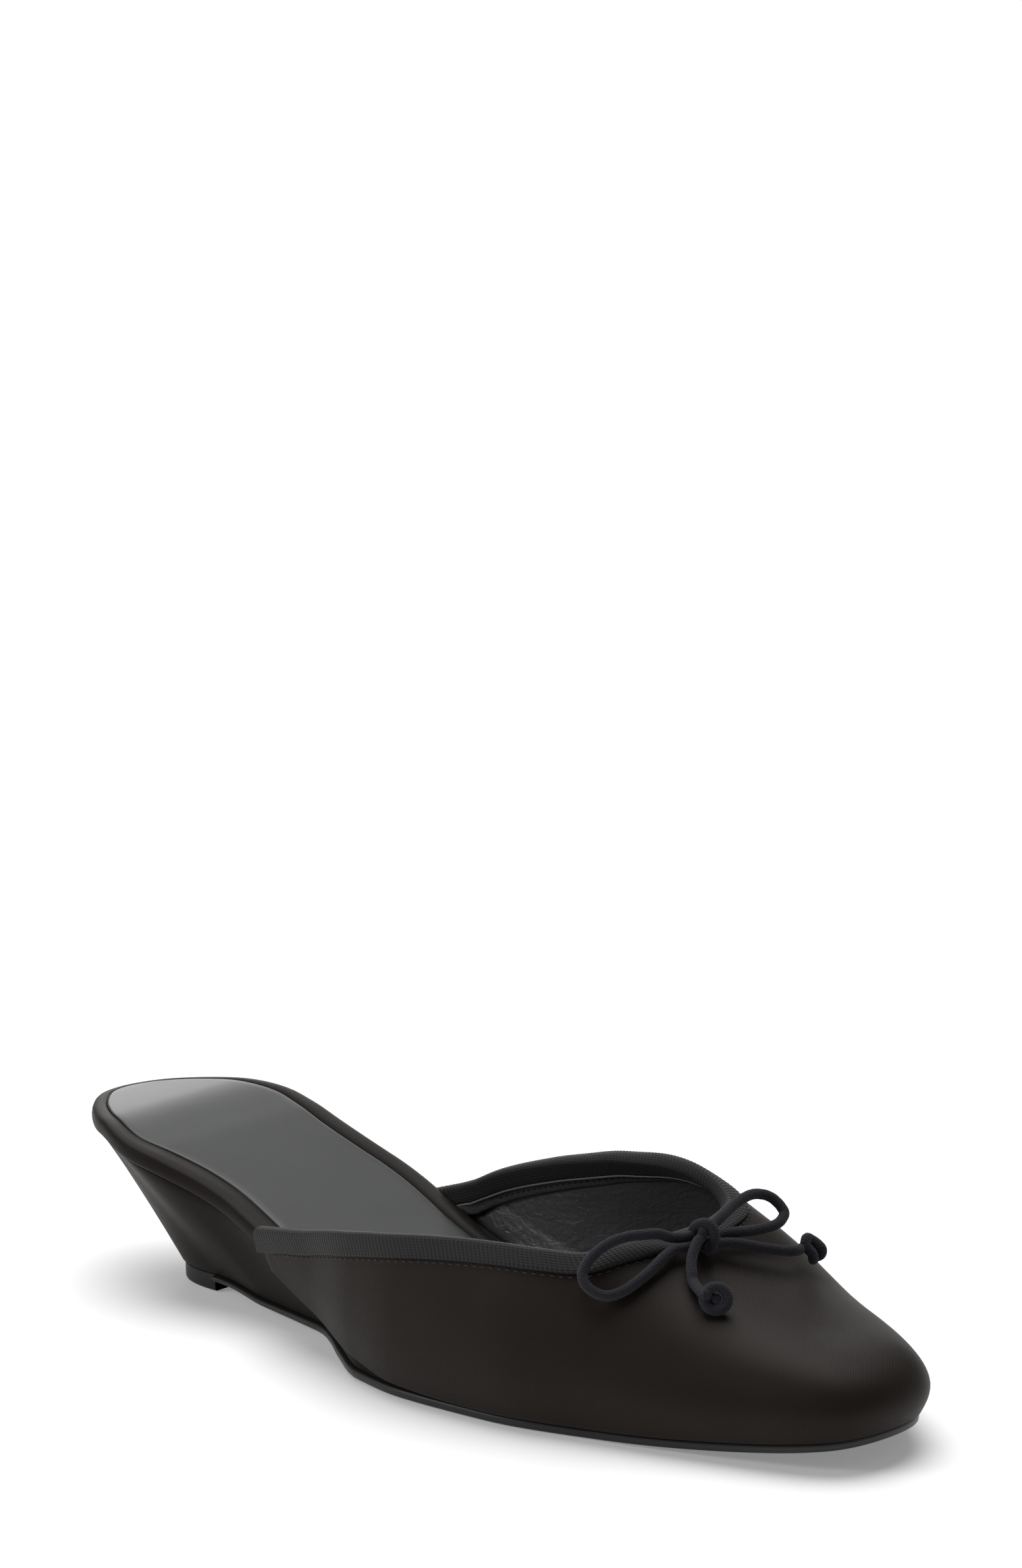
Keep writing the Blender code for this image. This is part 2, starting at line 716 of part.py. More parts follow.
def smooth_curve(points):
    """Return closely spaced points on a smooth curve through the given ones."""
    ends = [points[0] * 2 - points[1]] + list(points) + [points[-1] * 2 - points[-2]]
    dense = []
    for k in range(len(points) - 1):
        a, b, c, d = ends[k:k + 4]
        for step in range(16):
            t = step / 16
            dense.append(0.5 * (b * 2 + (c - a) * t + (a * 2 - b * 5 + c * 4 - d) * t ** 2
                                + (b * 3 - a - c * 3 + d) * t ** 3))
    dense.append(points[-1])
    return dense


def clear_of(dense, centre, radius):
    """Drop the start of a route until its cord stands clear of a knot."""
    first = 0
    for k in range(len(dense) - 1):
        tangent = (dense[k + 1] - dense[k]).normalized()
        out = dense[k] - centre
        axial = out.dot(tangent)
        aside = max((out - tangent * axial).length - CORD_DIAMETER / 2, 0.0)
        if math.hypot(axial, aside) < radius + CLEARANCE and k < len(dense) / 2:
            first = k + 1
    return dense[first:]


def even_route(dense, spacing):
    """Return evenly spaced points along a dense route."""
    walked = [0.0]
    for a, b in zip(dense, dense[1:]):
        walked.append(walked[-1] + (b - a).length)
    count = max(2, round(walked[-1] / spacing))
    route = []
    for k in range(count + 1):
        place = walked[-1] * k / count
        low = min(bisect_right(walked, place) - 1, len(dense) - 2)
        span = max(walked[low + 1] - walked[low], 1e-9)
        route.append(dense[low].lerp(dense[low + 1], min((place - walked[low]) / span, 1.0)))
    return route


def bow_point(row):
    """Place one row of a bow table."""
    centre = Vector((-BOW_SHIFT, CENTRE_ALONG - BOW_STATION * INSOLE_LENGTH, THROAT_HEIGHT + BOW_RISE))
    return centre + BOW_SPAN * Vector((row.aside, -row.ahead, row.rise))


def build_cord(name, rows, start_knot, end_knot, part_collection):
    """Make a round cord along a bow table, clear of the knots at its two ends."""
    dense = clear_of(smooth_curve([bow_point(row) for row in rows]), *start_knot)
    dense = clear_of(dense[::-1], *end_knot)[::-1]
    route = even_route(dense, CORD_DIAMETER)
    line = bpy.data.curves.new(name, "CURVE")
    line.dimensions = "3D"
    spline = line.splines.new("POLY")
    spline.points.add(len(route) - 1)
    for point, place in zip(spline.points, route):
        point.co = (*place, 1.0)
    line.bevel_depth = CORD_DIAMETER / 2
    line.bevel_resolution = 2
    line.use_fill_caps = True
    line.materials.append(make_material(name, "cord"))
    body = bpy.data.objects.new(name, line)
    part_collection.objects.link(body)
    return body


def build_knot(name, centre, radius, part_collection):
    """Make a round knot as one plain ball."""
    work = bmesh.new()
    bmesh.ops.create_uvsphere(work, u_segments=18, v_segments=10, radius=radius,
                              matrix=Matrix.Translation(centre))
    mesh = bpy.data.meshes.new(name)
    work.to_mesh(mesh)
    work.free()
    mesh.shade_smooth()
    mesh.materials.append(make_material(name, "cord"))
    body = bpy.data.objects.new(name, mesh)
    part_collection.objects.link(body)
    return body


def build_ring_knot(name, centre, facing, part_collection):
    """Make a knot that shows as a ring, turned to face a direction."""
    minor = CORD_DIAMETER / 2
    bpy.ops.mesh.primitive_torus_add(major_segments=20, minor_segments=8,
                                     major_radius=END_KNOT_RADIUS - minor, minor_radius=minor)
    body = bpy.context.object
    body.name = name
    turned = facing.to_track_quat("Z", "Y").to_matrix().to_4x4()
    body.data.transform(Matrix.Translation(centre) @ turned)
    body.data.shade_smooth()
    body.data.materials.append(make_material(name, "cord"))
    for holder in list(body.users_collection):
        holder.objects.unlink(body)
    part_collection.objects.link(body)
    return body


def build_bow(part_collection):
    """Cord bow at the throat: two loops, two tails, a knot and a small knot on each tail."""
    knot = (bow_point(BowPoint(0.0, 0.0, 0.0)), KNOT_RADIUS)
    front = (bow_point(BowPoint(-0.226, 0.276, -0.177)), END_KNOT_RADIUS)
    inner = (bow_point(BowPoint(0.465, 0.206, -0.139)), END_KNOT_RADIUS)
    build_knot("bow_knot", *knot, part_collection)
    build_ring_knot("tail_knot_front", front[0], Vector((-0.622, -0.657, 0.426)), part_collection)
    build_knot("tail_knot_inner", *inner, part_collection)
    build_cord("bow_loop_outer", LOOP_OUTER_ROWS, knot, knot, part_collection)
    build_cord("bow_loop_inner", LOOP_INNER_ROWS, knot, knot, part_collection)
    build_cord("bow_tail_front", TAIL_FRONT_ROWS, knot, front, part_collection)
    build_cord("bow_tail_inner", TAIL_INNER_ROWS, knot, inner, part_collection)


def main():
    """Clear the scene and build the shoe."""
    for leftover in list(bpy.data.objects):
        bpy.data.objects.remove(leftover, do_unlink=True)
    part_collection = bpy.data.collections.new("wedge_mule")
    bpy.context.scene.collection.children.link(part_collection)
    build_outsole(part_collection)
    build_top_lift(part_collection)
    build_wedge(part_collection)
    build_insole(part_collection)
    build_sock(part_collection)
    build_upper(part_collection)
    build_binding(part_collection)
    build_bow(part_collection)


main()
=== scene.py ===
"""Looks of the black satin wedge mule: cloth, ribbon, leather, cord bow, stitches, floor and light.

The toe points to -Y and the wearer's outer side lies at -X. The shoe stands on its sole at Z = 0.
Lengths along the shoe are stations, 0 at the back of the heel seat and 1 at the tip of the insole.
The shoe's own sizes and tables repeat those of the part's source, so each cover fits its solid.
Only the inner wing's end differs: it starts further back here, and its topline dips lower.
"""
import math
from bisect import bisect_right
from collections import namedtuple

import bmesh
import bpy
from mathutils import Matrix, Vector

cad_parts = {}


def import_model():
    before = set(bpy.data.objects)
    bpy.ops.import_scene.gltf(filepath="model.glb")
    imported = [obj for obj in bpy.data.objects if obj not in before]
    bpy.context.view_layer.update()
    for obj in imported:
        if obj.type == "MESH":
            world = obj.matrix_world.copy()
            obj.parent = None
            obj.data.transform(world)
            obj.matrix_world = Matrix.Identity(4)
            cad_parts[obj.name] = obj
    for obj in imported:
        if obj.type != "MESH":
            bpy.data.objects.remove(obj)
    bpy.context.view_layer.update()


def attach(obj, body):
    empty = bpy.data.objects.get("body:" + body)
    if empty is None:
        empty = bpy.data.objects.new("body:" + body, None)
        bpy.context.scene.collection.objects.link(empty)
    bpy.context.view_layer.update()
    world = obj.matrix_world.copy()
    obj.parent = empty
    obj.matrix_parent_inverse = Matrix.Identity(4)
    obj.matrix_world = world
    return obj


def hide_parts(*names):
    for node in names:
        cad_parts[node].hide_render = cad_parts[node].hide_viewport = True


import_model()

# Sizes of the shoe, in metres
INSOLE_LENGTH = 0.2410
HEEL_WIDTH = 0.0565
BALL_WIDTH = 0.0755
HEEL_HEIGHT = 0.0381
THROAT_HEIGHT = 0.0368
TOE_SPRING = 0.0050
RIM_THICKNESS = 0.0038
UPPER_WALL = 0.0016
LASTING_MARGIN = 0.0060
BELLY = 0.0020
SOLE_THICKNESS = 0.0020
SOLE_BACK_THICKNESS = 0.0012
SOLE_SETBACK = 0.0005
SOCK_THICKNESS = 0.0007
SOCK_INSET = 0.0062
SOCK_HEEL_INSET = 0.0036
SOCK_RECESS = 0.0008
WEDGE_SETBACK = 0.0012
WEDGE_FOOT_SETBACK = 0.0010
LIFT_HEIGHT = 0.0040
LIFT_SETBACK = 0.0015
RIBBON_THICKNESS = 0.0006
RIBBON_BAND = 0.0044
RIBBON_INNER_BAND = 0.0037
CORD_DIAMETER = 0.0023
BOW_SPAN = 0.0500
BOW_RISE = 0.0034
BOW_SHIFT = 0.0009
CLEARANCE = 0.0003
HIDDEN_GAP = 0.0007

# Sides of the shoe, and stations along it, as shares of the insole's length
OUTER = 1
INNER = -1
LIFT_BACK = 0.125
LIFT_FRONT = 0.197
WEDGE_END = 0.549
SOLE_FULL_START = 0.500
SOLE_FLAT_START = 0.600
SPRING_START = 0.740
WIDTH_BLEND = (0.185, 0.493)
SOCK_INSET_BLEND = (0.020, 0.220)
WIDEST = {OUTER: 0.560, INNER: 0.770}
WING_START = {OUTER: 0.324, INNER: 0.321}
WING_SLANT = 0.020
STEP_BEFORE_WING = (0.010, 0.002)
THROAT = 0.7630
TOE_CREST = 0.905
BOW_STATION = 0.7925

# Shape of the sections: girths, powers of the curves, and shares
TUCK = 0.1
LEAST_GIRTH = 0.002
SIDE_POWER = 2.3
TOP_POWER = 1.9
FALL_POWER = 1.5
FOOT_POWER = 2.6
CLOTH_POWER = 1.35
GIRTH_CROWD = 1.25
BELLY_SHARE = 0.26
RIB_SPREAD = 0.6

# Ribbon, seams and the lining's fold, in metres
RIBBON_RIB = 0.00105
RIBBON_RIB_RISE = 0.00005
RIBBON_BEVEL = 0.0001
LEAST_BAND = 0.0002
STITCH_PITCH = 0.0021
STITCH_LENGTH = 0.00145
STITCH_WIDTH = 0.00038
OUTER_STITCH_LIFT = 0.0001
OUTER_STITCH_DROP = 0.0007
LINING_STITCH_DROP = 0.0013
LINING_FOLD_START = 0.00005
LINING_FOLD_BAND = 0.0030
LINING_FOLD_LIFT = 0.0007
FOLD_EDGE = 0.0006
FOLD_EDGE_DROP = 0.00028

# Lie of the ribbon: slope of its ribs, bulge of its fold over half its thickness, girth at which
# its outer band ends, and how steep the way down is where its inner band narrows
RIBBON_RIB_SLANT = 0.42
RIBBON_BULGE = 0.62
BAND_END_GIRTH = 0.010
STEEP_FALL = 0.4

# Braid of the cord: metres, then shares of the strand's rise and the diameter, then counts
CORD_STEP = 0.0003
CORD_TIP = 0.00002
CORD_STRAND_RISE = 0.00005
CORD_STRAND_LEVEL = 0.4
CORD_LAY = 1.6
CORD_CAP = 0.3
CORD_STRANDS = 7
CORD_RING = 28

# Steps of the meshes, the small steps at which rates are taken, and how near points merge
SOLE_STEPS = 110
LIFT_STEPS = 44
WEDGE_STEPS = 90
BOARD_STEPS = 150
PLATE_TOP_STEPS = 8
SOCK_TOP_STEPS = 24
PLATE_BOTTOM_STEPS = 4
OPEN_RIBS = 90
TOE_RIBS = 44
GIRTH_STEPS = 34
TOPLINE_COUNT = 110
CURVE_STEPS = 16
FOLD_EDGE_RING = 8
TURN_STEP = 0.004
STATION_STEP = 0.0005
GIRTH_STEP = 0.002
MERGE_DISTANCE = 2e-6

# Floor and surround
FLOOR_SIZE = 40.0
FLOOR_DROP = 0.0002
SURROUND_FILL = 0.14

# Camera at the photograph's place, in metres and degrees
CAMERA_PLACE = (-1.01487, -1.0154, 0.4783)
CAMERA_AIM = (0.013, 0.0, 0.12659)
CAMERA_ROLL = -1.454
CAMERA_LENS = 155.07
CAMERA_SENSOR = 36.0

Outline = namedtuple("Outline", "station outer inner")
# Half widths of the insole board, as shares of the heel's or the ball's width
BOARD_ROWS = [
    Outline(0.000, 0.000, 0.000),
    Outline(0.007, 0.112, 0.122),
    Outline(0.021, 0.193, 0.213),
    Outline(0.050, 0.312, 0.328),
    Outline(0.085, 0.408, 0.422),
    Outline(0.144, 0.486, 0.506),
    Outline(0.267, 0.397, 0.490),
    Outline(0.411, 0.415, 0.369),
    Outline(0.493, 0.479, 0.340),
    Outline(0.554, 0.506, 0.355),
    Outline(0.657, 0.490, 0.419),
    Outline(0.770, 0.403, 0.462),
    Outline(0.883, 0.299, 0.360),
    Outline(0.965, 0.205, 0.215),
    Outline(0.985, 0.160, 0.155),
    Outline(0.996, 0.095, 0.090),
    Outline(1.000, 0.000, 0.000),
]

Waist = namedtuple("Waist", "station outer inner")
# Half widths of the sole, as shares of the board's
WAIST_ROWS = [
    Waist(0.000, 0.50, 0.48),
    Waist(0.197, 0.54, 0.50),
    Waist(0.287, 0.72, 0.56),
    Waist(0.370, 0.72, 0.62),
    Waist(0.441, 0.92, 0.72),
    Waist(0.493, 1.00, 0.82),
    Waist(0.554, 1.00, 0.92),
    Waist(0.637, 1.00, 1.00),
    Waist(1.000, 1.00, 1.00),
]

Rise = namedtuple("Rise", "station heel arch")
# Underside of the insole as a share of the heel's rise, and the sole's as a share of the lift
RISE_ROWS = [
    Rise(0.000, 0.970, 1.00),
    Rise(0.031, 0.990, 1.00),
    Rise(0.082, 1.000, 1.00),
    Rise(0.159, 0.898, 1.00),
    Rise(0.197, 0.812, 1.00),
    Rise(0.313, 0.510, 0.62),
    Rise(0.390, 0.308, 0.38),
    Rise(0.493, 0.098, 0.10),
    Rise(0.544, 0.031, 0.02),
    Rise(0.600, 0.007, 0.00),
    Rise(0.657, 0.000, 0.00),
    Rise(1.000, 0.000, 0.00),
]

Crest = namedtuple("Crest", "station height belly swell")
# Height of the ridge over the underside, as a share of the throat's, the belly's share, and how
# much higher the inner side of the instep stands, as a share of the throat's height
CREST_ROWS = [
    Crest(0.287, 2.15, 0.10, 0.00),
    Crest(0.441, 1.82, 0.70, 0.00),
    Crest(0.595, 1.46, 0.90, 0.01),
    Crest(0.698, 1.22, 0.90, 0.09),
    Crest(0.763, 0.99, 0.95, 0.07),
    Crest(0.842, 0.73, 1.00, 0.00),
    Crest(0.905, 0.57, 1.00, 0.00),
    Crest(1.000, 0.36, 1.00, 0.00),
]

Topline = namedtuple("Topline", "sweep outer inner")
# Girth at which the topline is cut, from the wing's end to the throat
TOPLINE_ROWS = [
    Topline(0.00, 0.064, 0.014),
    Topline(0.05, 0.127, 0.092),
    Topline(0.10, 0.182, 0.175),
    Topline(0.20, 0.297, 0.316),
    Topline(0.30, 0.395, 0.4425),
    Topline(0.40, 0.466, 0.550),
    Topline(0.50, 0.520, 0.6165),
    Topline(0.60, 0.567, 0.655),
    Topline(0.70, 0.626, 0.691),
    Topline(0.80, 0.762, 0.754),
    Topline(0.90, 0.895, 0.877),
    Topline(1.00, 1.000, 1.000),
]

BowPoint = namedtuple("BowPoint", "aside ahead rise")
# Routes of the bow's cord from its knot, as shares of the bow's span, towards +X, -Y and +Z
LOOP_OUTER_ROWS = [
    BowPoint(-0.016, -0.021, 0.007),
    BowPoint(-0.061, -0.037, -0.005),
    BowPoint(-0.120, -0.075, -0.002),
    BowPoint(-0.171, -0.110, 0.019),
    BowPoint(-0.228, -0.139, 0.023),
    BowPoint(-0.293, -0.171, 0.024),
    BowPoint(-0.362, -0.200, 0.012),
    BowPoint(-0.429, -0.220, -0.016),
    BowPoint(-0.488, -0.228, -0.055),
    BowPoint(-0.529, -0.220, -0.098),
    BowPoint(-0.541, -0.190, -0.136),
    BowPoint(-0.524, -0.145, -0.167),
    BowPoint(-0.491, -0.104, -0.178),
    BowPoint(-0.432, -0.066, -0.161),
    BowPoint(-0.367, -0.044, -0.129),
    BowPoint(-0.299, -0.034, -0.097),
    BowPoint(-0.224, -0.031, -0.059),
    BowPoint(-0.157, -0.031, -0.040),
    BowPoint(-0.084, -0.016, -0.042),
    BowPoint(-0.023, -0.016, -0.034),
]
LOOP_INNER_ROWS = [
    BowPoint(0.000, -0.012, -0.004),
    BowPoint(0.073, -0.025, 0.012),
    BowPoint(0.153, -0.037, 0.034),
    BowPoint(0.226, -0.053, 0.050),
    BowPoint(0.299, -0.062, 0.067),
    BowPoint(0.364, -0.063, 0.075),
    BowPoint(0.413, -0.056, 0.070),
    BowPoint(0.454, -0.032, 0.054),
    BowPoint(0.475, 0.000, 0.025),
    BowPoint(0.475, 0.035, -0.009),
    BowPoint(0.445, 0.051, -0.029),
    BowPoint(0.398, 0.059, -0.041),
    BowPoint(0.334, 0.054, -0.043),
    BowPoint(0.260, 0.039, -0.040),
    BowPoint(0.185, 0.025, -0.031),
    BowPoint(0.104, 0.007, -0.021),
    BowPoint(0.038, 0.007, -0.011),
]
TAIL_INNER_ROWS = [
    BowPoint(0.014, 0.022, -0.026),
    BowPoint(0.048, 0.037, -0.045),
    BowPoint(0.103, 0.069, -0.051),
    BowPoint(0.156, 0.102, -0.065),
    BowPoint(0.210, 0.135, -0.084),
    BowPoint(0.264, 0.167, -0.100),
    BowPoint(0.315, 0.193, -0.114),
    BowPoint(0.363, 0.211, -0.120),
    BowPoint(0.405, 0.213, -0.122),
]
TAIL_FRONT_ROWS = [
    BowPoint(-0.003, -0.001, 0.015),
    BowPoint(-0.034, 0.016, 0.005),
    BowPoint(-0.071, 0.030, -0.009),
    BowPoint(-0.114, 0.044, -0.043),
    BowPoint(-0.150, 0.064, -0.078),
    BowPoint(-0.180, 0.094, -0.112),
    BowPoint(-0.206, 0.130, -0.145),
    BowPoint(-0.222, 0.175, -0.171),
]


def monotone(places, values):
    """Return a smooth curve through the given values that never overshoots them."""
    steps = [b - a for a, b in zip(places, places[1:])]
    slopes = [(b - a) / step for a, b, step in zip(values, values[1:], steps)]
    tangents = [slopes[0]]
    for k in range(1, len(slopes)):
        before, after = slopes[k - 1], slopes[k]
        if before * after <= 0:
            tangents.append(0.0)
            continue
        near = 2 * steps[k] + steps[k - 1]
        far = steps[k] + 2 * steps[k - 1]
        tangents.append((near + far) / (near / before + far / after))
    tangents.append(slopes[-1])

    def value(place):
        place = min(max(place, places[0]), places[-1])
        k = min(bisect_right(places, place) - 1, len(steps) - 1)
        t = (place - places[k]) / steps[k]
        rise = (1 + 2 * t) * (1 - t) ** 2 * values[k] + t * t * (3 - 2 * t) * values[k + 1]
        lean = t * (1 - t) ** 2 * tangents[k] - t * t * (1 - t) * tangents[k + 1]
        return rise + steps[k] * lean

    return value


def columns(rows, names, place=lambda value: value):
    """Return one smooth curve for each named column of a table, over its first column."""
    places = [place(row[0]) for row in rows]
    return [monotone(places, [getattr(row, name) for row in rows]) for name in names]


def turn(station):
    """Return the angle whose cosine runs from heel to toe, so both ends of an outline are round."""
    return math.acos(max(-1.0, min(1.0, 1.0 - 2.0 * station)))


def ease(value, low, high):
    """Return 0 below low and 1 above high, with a soft step between them."""
    t = min(max((value - low) / (high - low), 0.0), 1.0)
    return t * t * (3 - 2 * t)


BOARD_OUTER, BOARD_INNER = columns(BOARD_ROWS, ("outer", "inner"), turn)
WAIST_OUTER, WAIST_INNER = columns(WAIST_ROWS, ("outer", "inner"))
HEEL_RISE, ARCH_RISE = columns(RISE_ROWS, ("heel", "arch"))
CREST_HEIGHT, CREST_BELLY, CREST_SWELL = columns(CREST_ROWS, ("height", "belly", "swell"))
TOP_OUTER, TOP_INNER = columns(TOPLINE_ROWS, ("outer", "inner"))


def board_half(side, station):
    """Half width of the insole board on one side."""
    share = BOARD_OUTER(turn(station)) if side == OUTER else BOARD_INNER(turn(station))
    return share * (HEEL_WIDTH + (BALL_WIDTH - HEEL_WIDTH) * ease(station, *WIDTH_BLEND))


def sole_half(side, station):
    """Half width of the sole before the upper's thickness is added."""
    share = WAIST_OUTER(station) if side == OUTER else WAIST_INNER(station)
    return share * board_half(side, station)


def base_half(side, station):
    """Half width of the wedge's foot, rounded at the back over the top lift."""
    if station >= LIFT_FRONT:
        return sole_half(side, station)
    back = (LIFT_FRONT - station) / (LIFT_FRONT - LIFT_BACK)
    return sole_half(side, LIFT_FRONT) * max(0.0, 1.0 - min(back, 1.0) ** FOOT_POWER) ** (1 / FOOT_POWER)


CENTRE_SHIFT = (board_half(OUTER, WIDEST[OUTER]) - board_half(INNER, WIDEST[INNER])) / 2
CENTRE_ALONG = (INSOLE_LENGTH + UPPER_WALL + CLEARANCE + BELLY) / 2


def world(side, along, aside, height):
    """Place a point given along the shoe, out from its axis, and up."""
    return Vector((CENTRE_SHIFT - side * aside, CENTRE_ALONG - along, height))


def spring(station):
    """Lift of the sole towards the toe."""
    return TOE_SPRING * max(0.0, (station - SPRING_START) / (1 - SPRING_START)) ** 2


def sole_thickness(station):
    """Thickness of the sole, thin at its back end."""
    full = ease(station, LIFT_FRONT, SOLE_FULL_START)
    return SOLE_BACK_THICKNESS + (SOLE_THICKNESS - SOLE_BACK_THICKNESS) * full


def sole_top(station):
    """Height of the sole's upper face."""
    arch = (LIFT_HEIGHT - SOLE_BACK_THICKNESS) * ARCH_RISE(station)
    return arch + sole_thickness(station) + spring(station)


def sole_bottom(station):
    """Height of the sole's lower face."""
    return sole_top(station) - sole_thickness(station)


def underside(station):
    """Height of the insole board's and the lasting margin's lower face."""
    base = SOLE_THICKNESS + CLEARANCE
    return base + (HEEL_HEIGHT - RIM_THICKNESS - base) * HEEL_RISE(station) + spring(station)


def board_top(station):
    """Height of the satin rim round the sock."""
    return underside(station) + RIM_THICKNESS


def edge(half, side, station, out, start=0.0, end=1.0):
    """Return the outline's point (along, aside) at a station, moved out along its normal."""
    here = math.acos(max(-1.0, min(1.0, 1.0 - 2.0 * (station - start) / (end - start))))

    def at(angle):
        angle = min(max(angle, 0.0), math.pi)
        place = start + (end - start) * (1.0 - math.cos(angle)) / 2.0
        return Vector((place * INSOLE_LENGTH, half(side, place)))

    point = at(here)
    tangent = at(here + TURN_STEP) - at(here - TURN_STEP)
    normal = Vector((-tangent.y, tangent.x)).normalized()
    if point.y < 1e-6:
        point.y = 0.0
        normal = Vector((-1.0 if station < (start + end) / 2 else 1.0, 0.0))
    return point + normal * out, normal


def stations(start, end, count, extra=()):
    """Return stations that crowd at both ends of an outline."""
    places = [start + (end - start) * (1 - math.cos(math.pi * k / count)) / 2 for k in range(count + 1)]
    return sorted(set(places) | set(extra))


def crest_station(station):
    """Station of the ridge point that a rib of the upper runs to; the ribs fan out at the toe."""
    if station <= THROAT:
        return station
    way = (station - THROAT) / (1 - THROAT)
    return station - (1 - TOE_CREST) * way * way


def crest_top(station):
    """Height of the upper's ridge line."""
    return underside(station) + THROAT_HEIGHT * CREST_HEIGHT(station)


def crest_fall(station):
    """Fall of the ridge line towards the toe, per unit of length."""
    step = 0.002
    return (crest_top(station - step) - crest_top(station + step)) / (2 * step * INSOLE_LENGTH)


def upper_point(side, station, girth):
    """Point on the upper's outer face: girth is 0 at the feather edge, 1 on the ridge, 2 across."""
    if girth > 1:
        side = -side
        girth = 2 - girth
    feather, normal = edge(board_half, side, station, UPPER_WALL + CLEARANCE)
    ridge_at = crest_station(station)
    mate, _ = edge(board_half, -side, station, UPPER_WALL + CLEARANCE)
    fade = 1 - ease(station, THROAT, 1.0)
    lean = (feather.x + mate.x) / 2 - station * INSOLE_LENGTH
    ridge = Vector((ridge_at * INSOLE_LENGTH + lean * fade, 0.0))
    low = underside(station)
    top = crest_top(ridge_at)
    belly_at = BELLY_SHARE * THROAT_HEIGHT * min(1.0, CREST_HEIGHT(ridge_at))
    belly = normal * BELLY * CREST_BELLY(station)
    if girth < TUCK:
        plan = feather + belly * math.sin(math.pi / 2 * max(girth, 0.0) / TUCK)
        return world(side, plan.x, plan.y, low + belly_at * girth / TUCK)
    angle = math.pi / 2 * (girth - TUCK) / (1 - TUCK)
    reach = max(math.cos(angle), 0.0) ** (2 / SIDE_POWER)
    plan = ridge + (feather + belly - ridge) * reach
    height = low + belly_at + (top - low - belly_at) * math.sin(angle) ** (2 / TOP_POWER)
    height -= crest_fall(ridge_at) * (feather.x - ridge.x) * reach * (1 - reach) ** FALL_POWER
    if side == INNER:
        height += THROAT_HEIGHT * CREST_SWELL(ridge_at) * math.sin(2 * angle) ** 2
    return world(side, plan.x, plan.y, height)


def top_edge(side, sweep):
    """Return the station and girth of the topline, from the wing's end at 0 to the throat at 1."""
    way = 1 - (1 - sweep) ** 2
    station = WING_START[side] + (THROAT - WING_START[side]) * way
    return station, TOP_OUTER(sweep) if side == OUTER else TOP_INNER(sweep)


def rib_base(side, sweep):
    """Station at the feather edge of the rib that ends on the topline at a sweep."""
    way = RIB_SPREAD * sweep + (1 - RIB_SPREAD) * (1 - (1 - sweep) ** 2)
    start = WING_START[side] + WING_SLANT
    return start + (THROAT - start) * way


def margin_point(side, station, share):
    """Move a feather point in under the insole by a share of the lasting margin."""
    feather, normal = edge(board_half, side, station, UPPER_WALL + CLEARANCE)
    plan = feather - normal * LASTING_MARGIN * share
    plan.y = max(plan.y, 0.0)
    return world(side, plan.x, plan.y, underside(plan.x / INSOLE_LENGTH))


def surface_frame(side, station, girth):
    """Return a point of the upper's outer face, its rates of change and its outward normal."""
    here = upper_point(side, station, girth)
    ahead = upper_point(side, station + STATION_STEP, girth)
    along = (ahead - upper_point(side, station - STATION_STEP, girth)) / (2 * STATION_STEP)
    high = girth + GIRTH_STEP
    low = max(girth - GIRTH_STEP, 0.0)
    round_rate = (upper_point(side, station, high) - upper_point(side, station, low)) / (high - low)
    normal = along.cross(round_rate).normalized()
    outward = Vector((here.x - CENTRE_SHIFT, 0.0, here.z - underside(station)))
    if normal.dot(outward) < 0:
        normal.negate()
    return here, along, round_rate, normal


# Laying cloth and leather over rows of points


def laid_sheet(name, rows, marks, closed=False):
    """Lay a grid over rows of points, with its UV map in metres, and merge where its edges meet."""
    across = len(rows[0]) - 1
    along = len(rows) - 1
    bpy.ops.object.select_all(action="DESELECT")
    bpy.ops.mesh.primitive_grid_add(x_subdivisions=across, y_subdivisions=along, size=1.0)
    piece = bpy.context.object
    piece.name = name
    piece.data.name = name
    seats = []
    for vertex in piece.data.vertices:
        seat = (round((vertex.co.y + 0.5) * along), round((vertex.co.x + 0.5) * across))
        seats.append(seat)
        vertex.co = rows[seat[0]][seat[1]]
    cloth = piece.data.uv_layers[0]
    cloth.name = "cloth"
    for loop in piece.data.loops:
        row, col = seats[loop.vertex_index]
        cloth.uv[loop.index].vector = marks[row][col]
    if closed:
        merge_and_turn_out(piece)
    piece.data.shade_smooth()
    return piece


def merge_and_turn_out(piece):
    """Merge a piece's doubled points and turn its faces outwards."""
    work = bmesh.new()
    work.from_mesh(piece.data)
    bmesh.ops.remove_doubles(work, verts=work.verts, dist=MERGE_DISTANCE)
    bmesh.ops.recalc_face_normals(work, faces=work.faces)
    if work.calc_volume(signed=True) < 0:
        bmesh.ops.reverse_faces(work, faces=work.faces)
    work.to_mesh(piece.data)
    work.free()


def cap_ends(piece):
    """Merge a tube's seam and close its two open ends."""
    work = bmesh.new()
    work.from_mesh(piece.data)
    bmesh.ops.remove_doubles(work, verts=work.verts, dist=MERGE_DISTANCE)
    rims = [line for line in work.edges if line.is_boundary]
    bmesh.ops.holes_fill(work, edges=rims, sides=0)
    work.to_mesh(piece.data)
    work.free()


def laid_tube(name, rows, marks):
    """Lay a tube over rows of section points and close it."""
    piece = laid_sheet(name, rows, marks)
    cap_ends(piece)
    merge_and_turn_out(piece)
    return piece


def finished(piece, kind, **settings):
    """Add a modifier to a piece, set it up and apply it."""
    bpy.ops.object.select_all(action="DESELECT")
    piece.select_set(True)
    bpy.context.view_layer.objects.active = piece
    modifier = piece.modifiers.new(kind.lower(), kind)
    for key, value in settings.items():
        setattr(modifier, key, value)
    bpy.ops.object.modifier_apply(modifier=modifier.name)


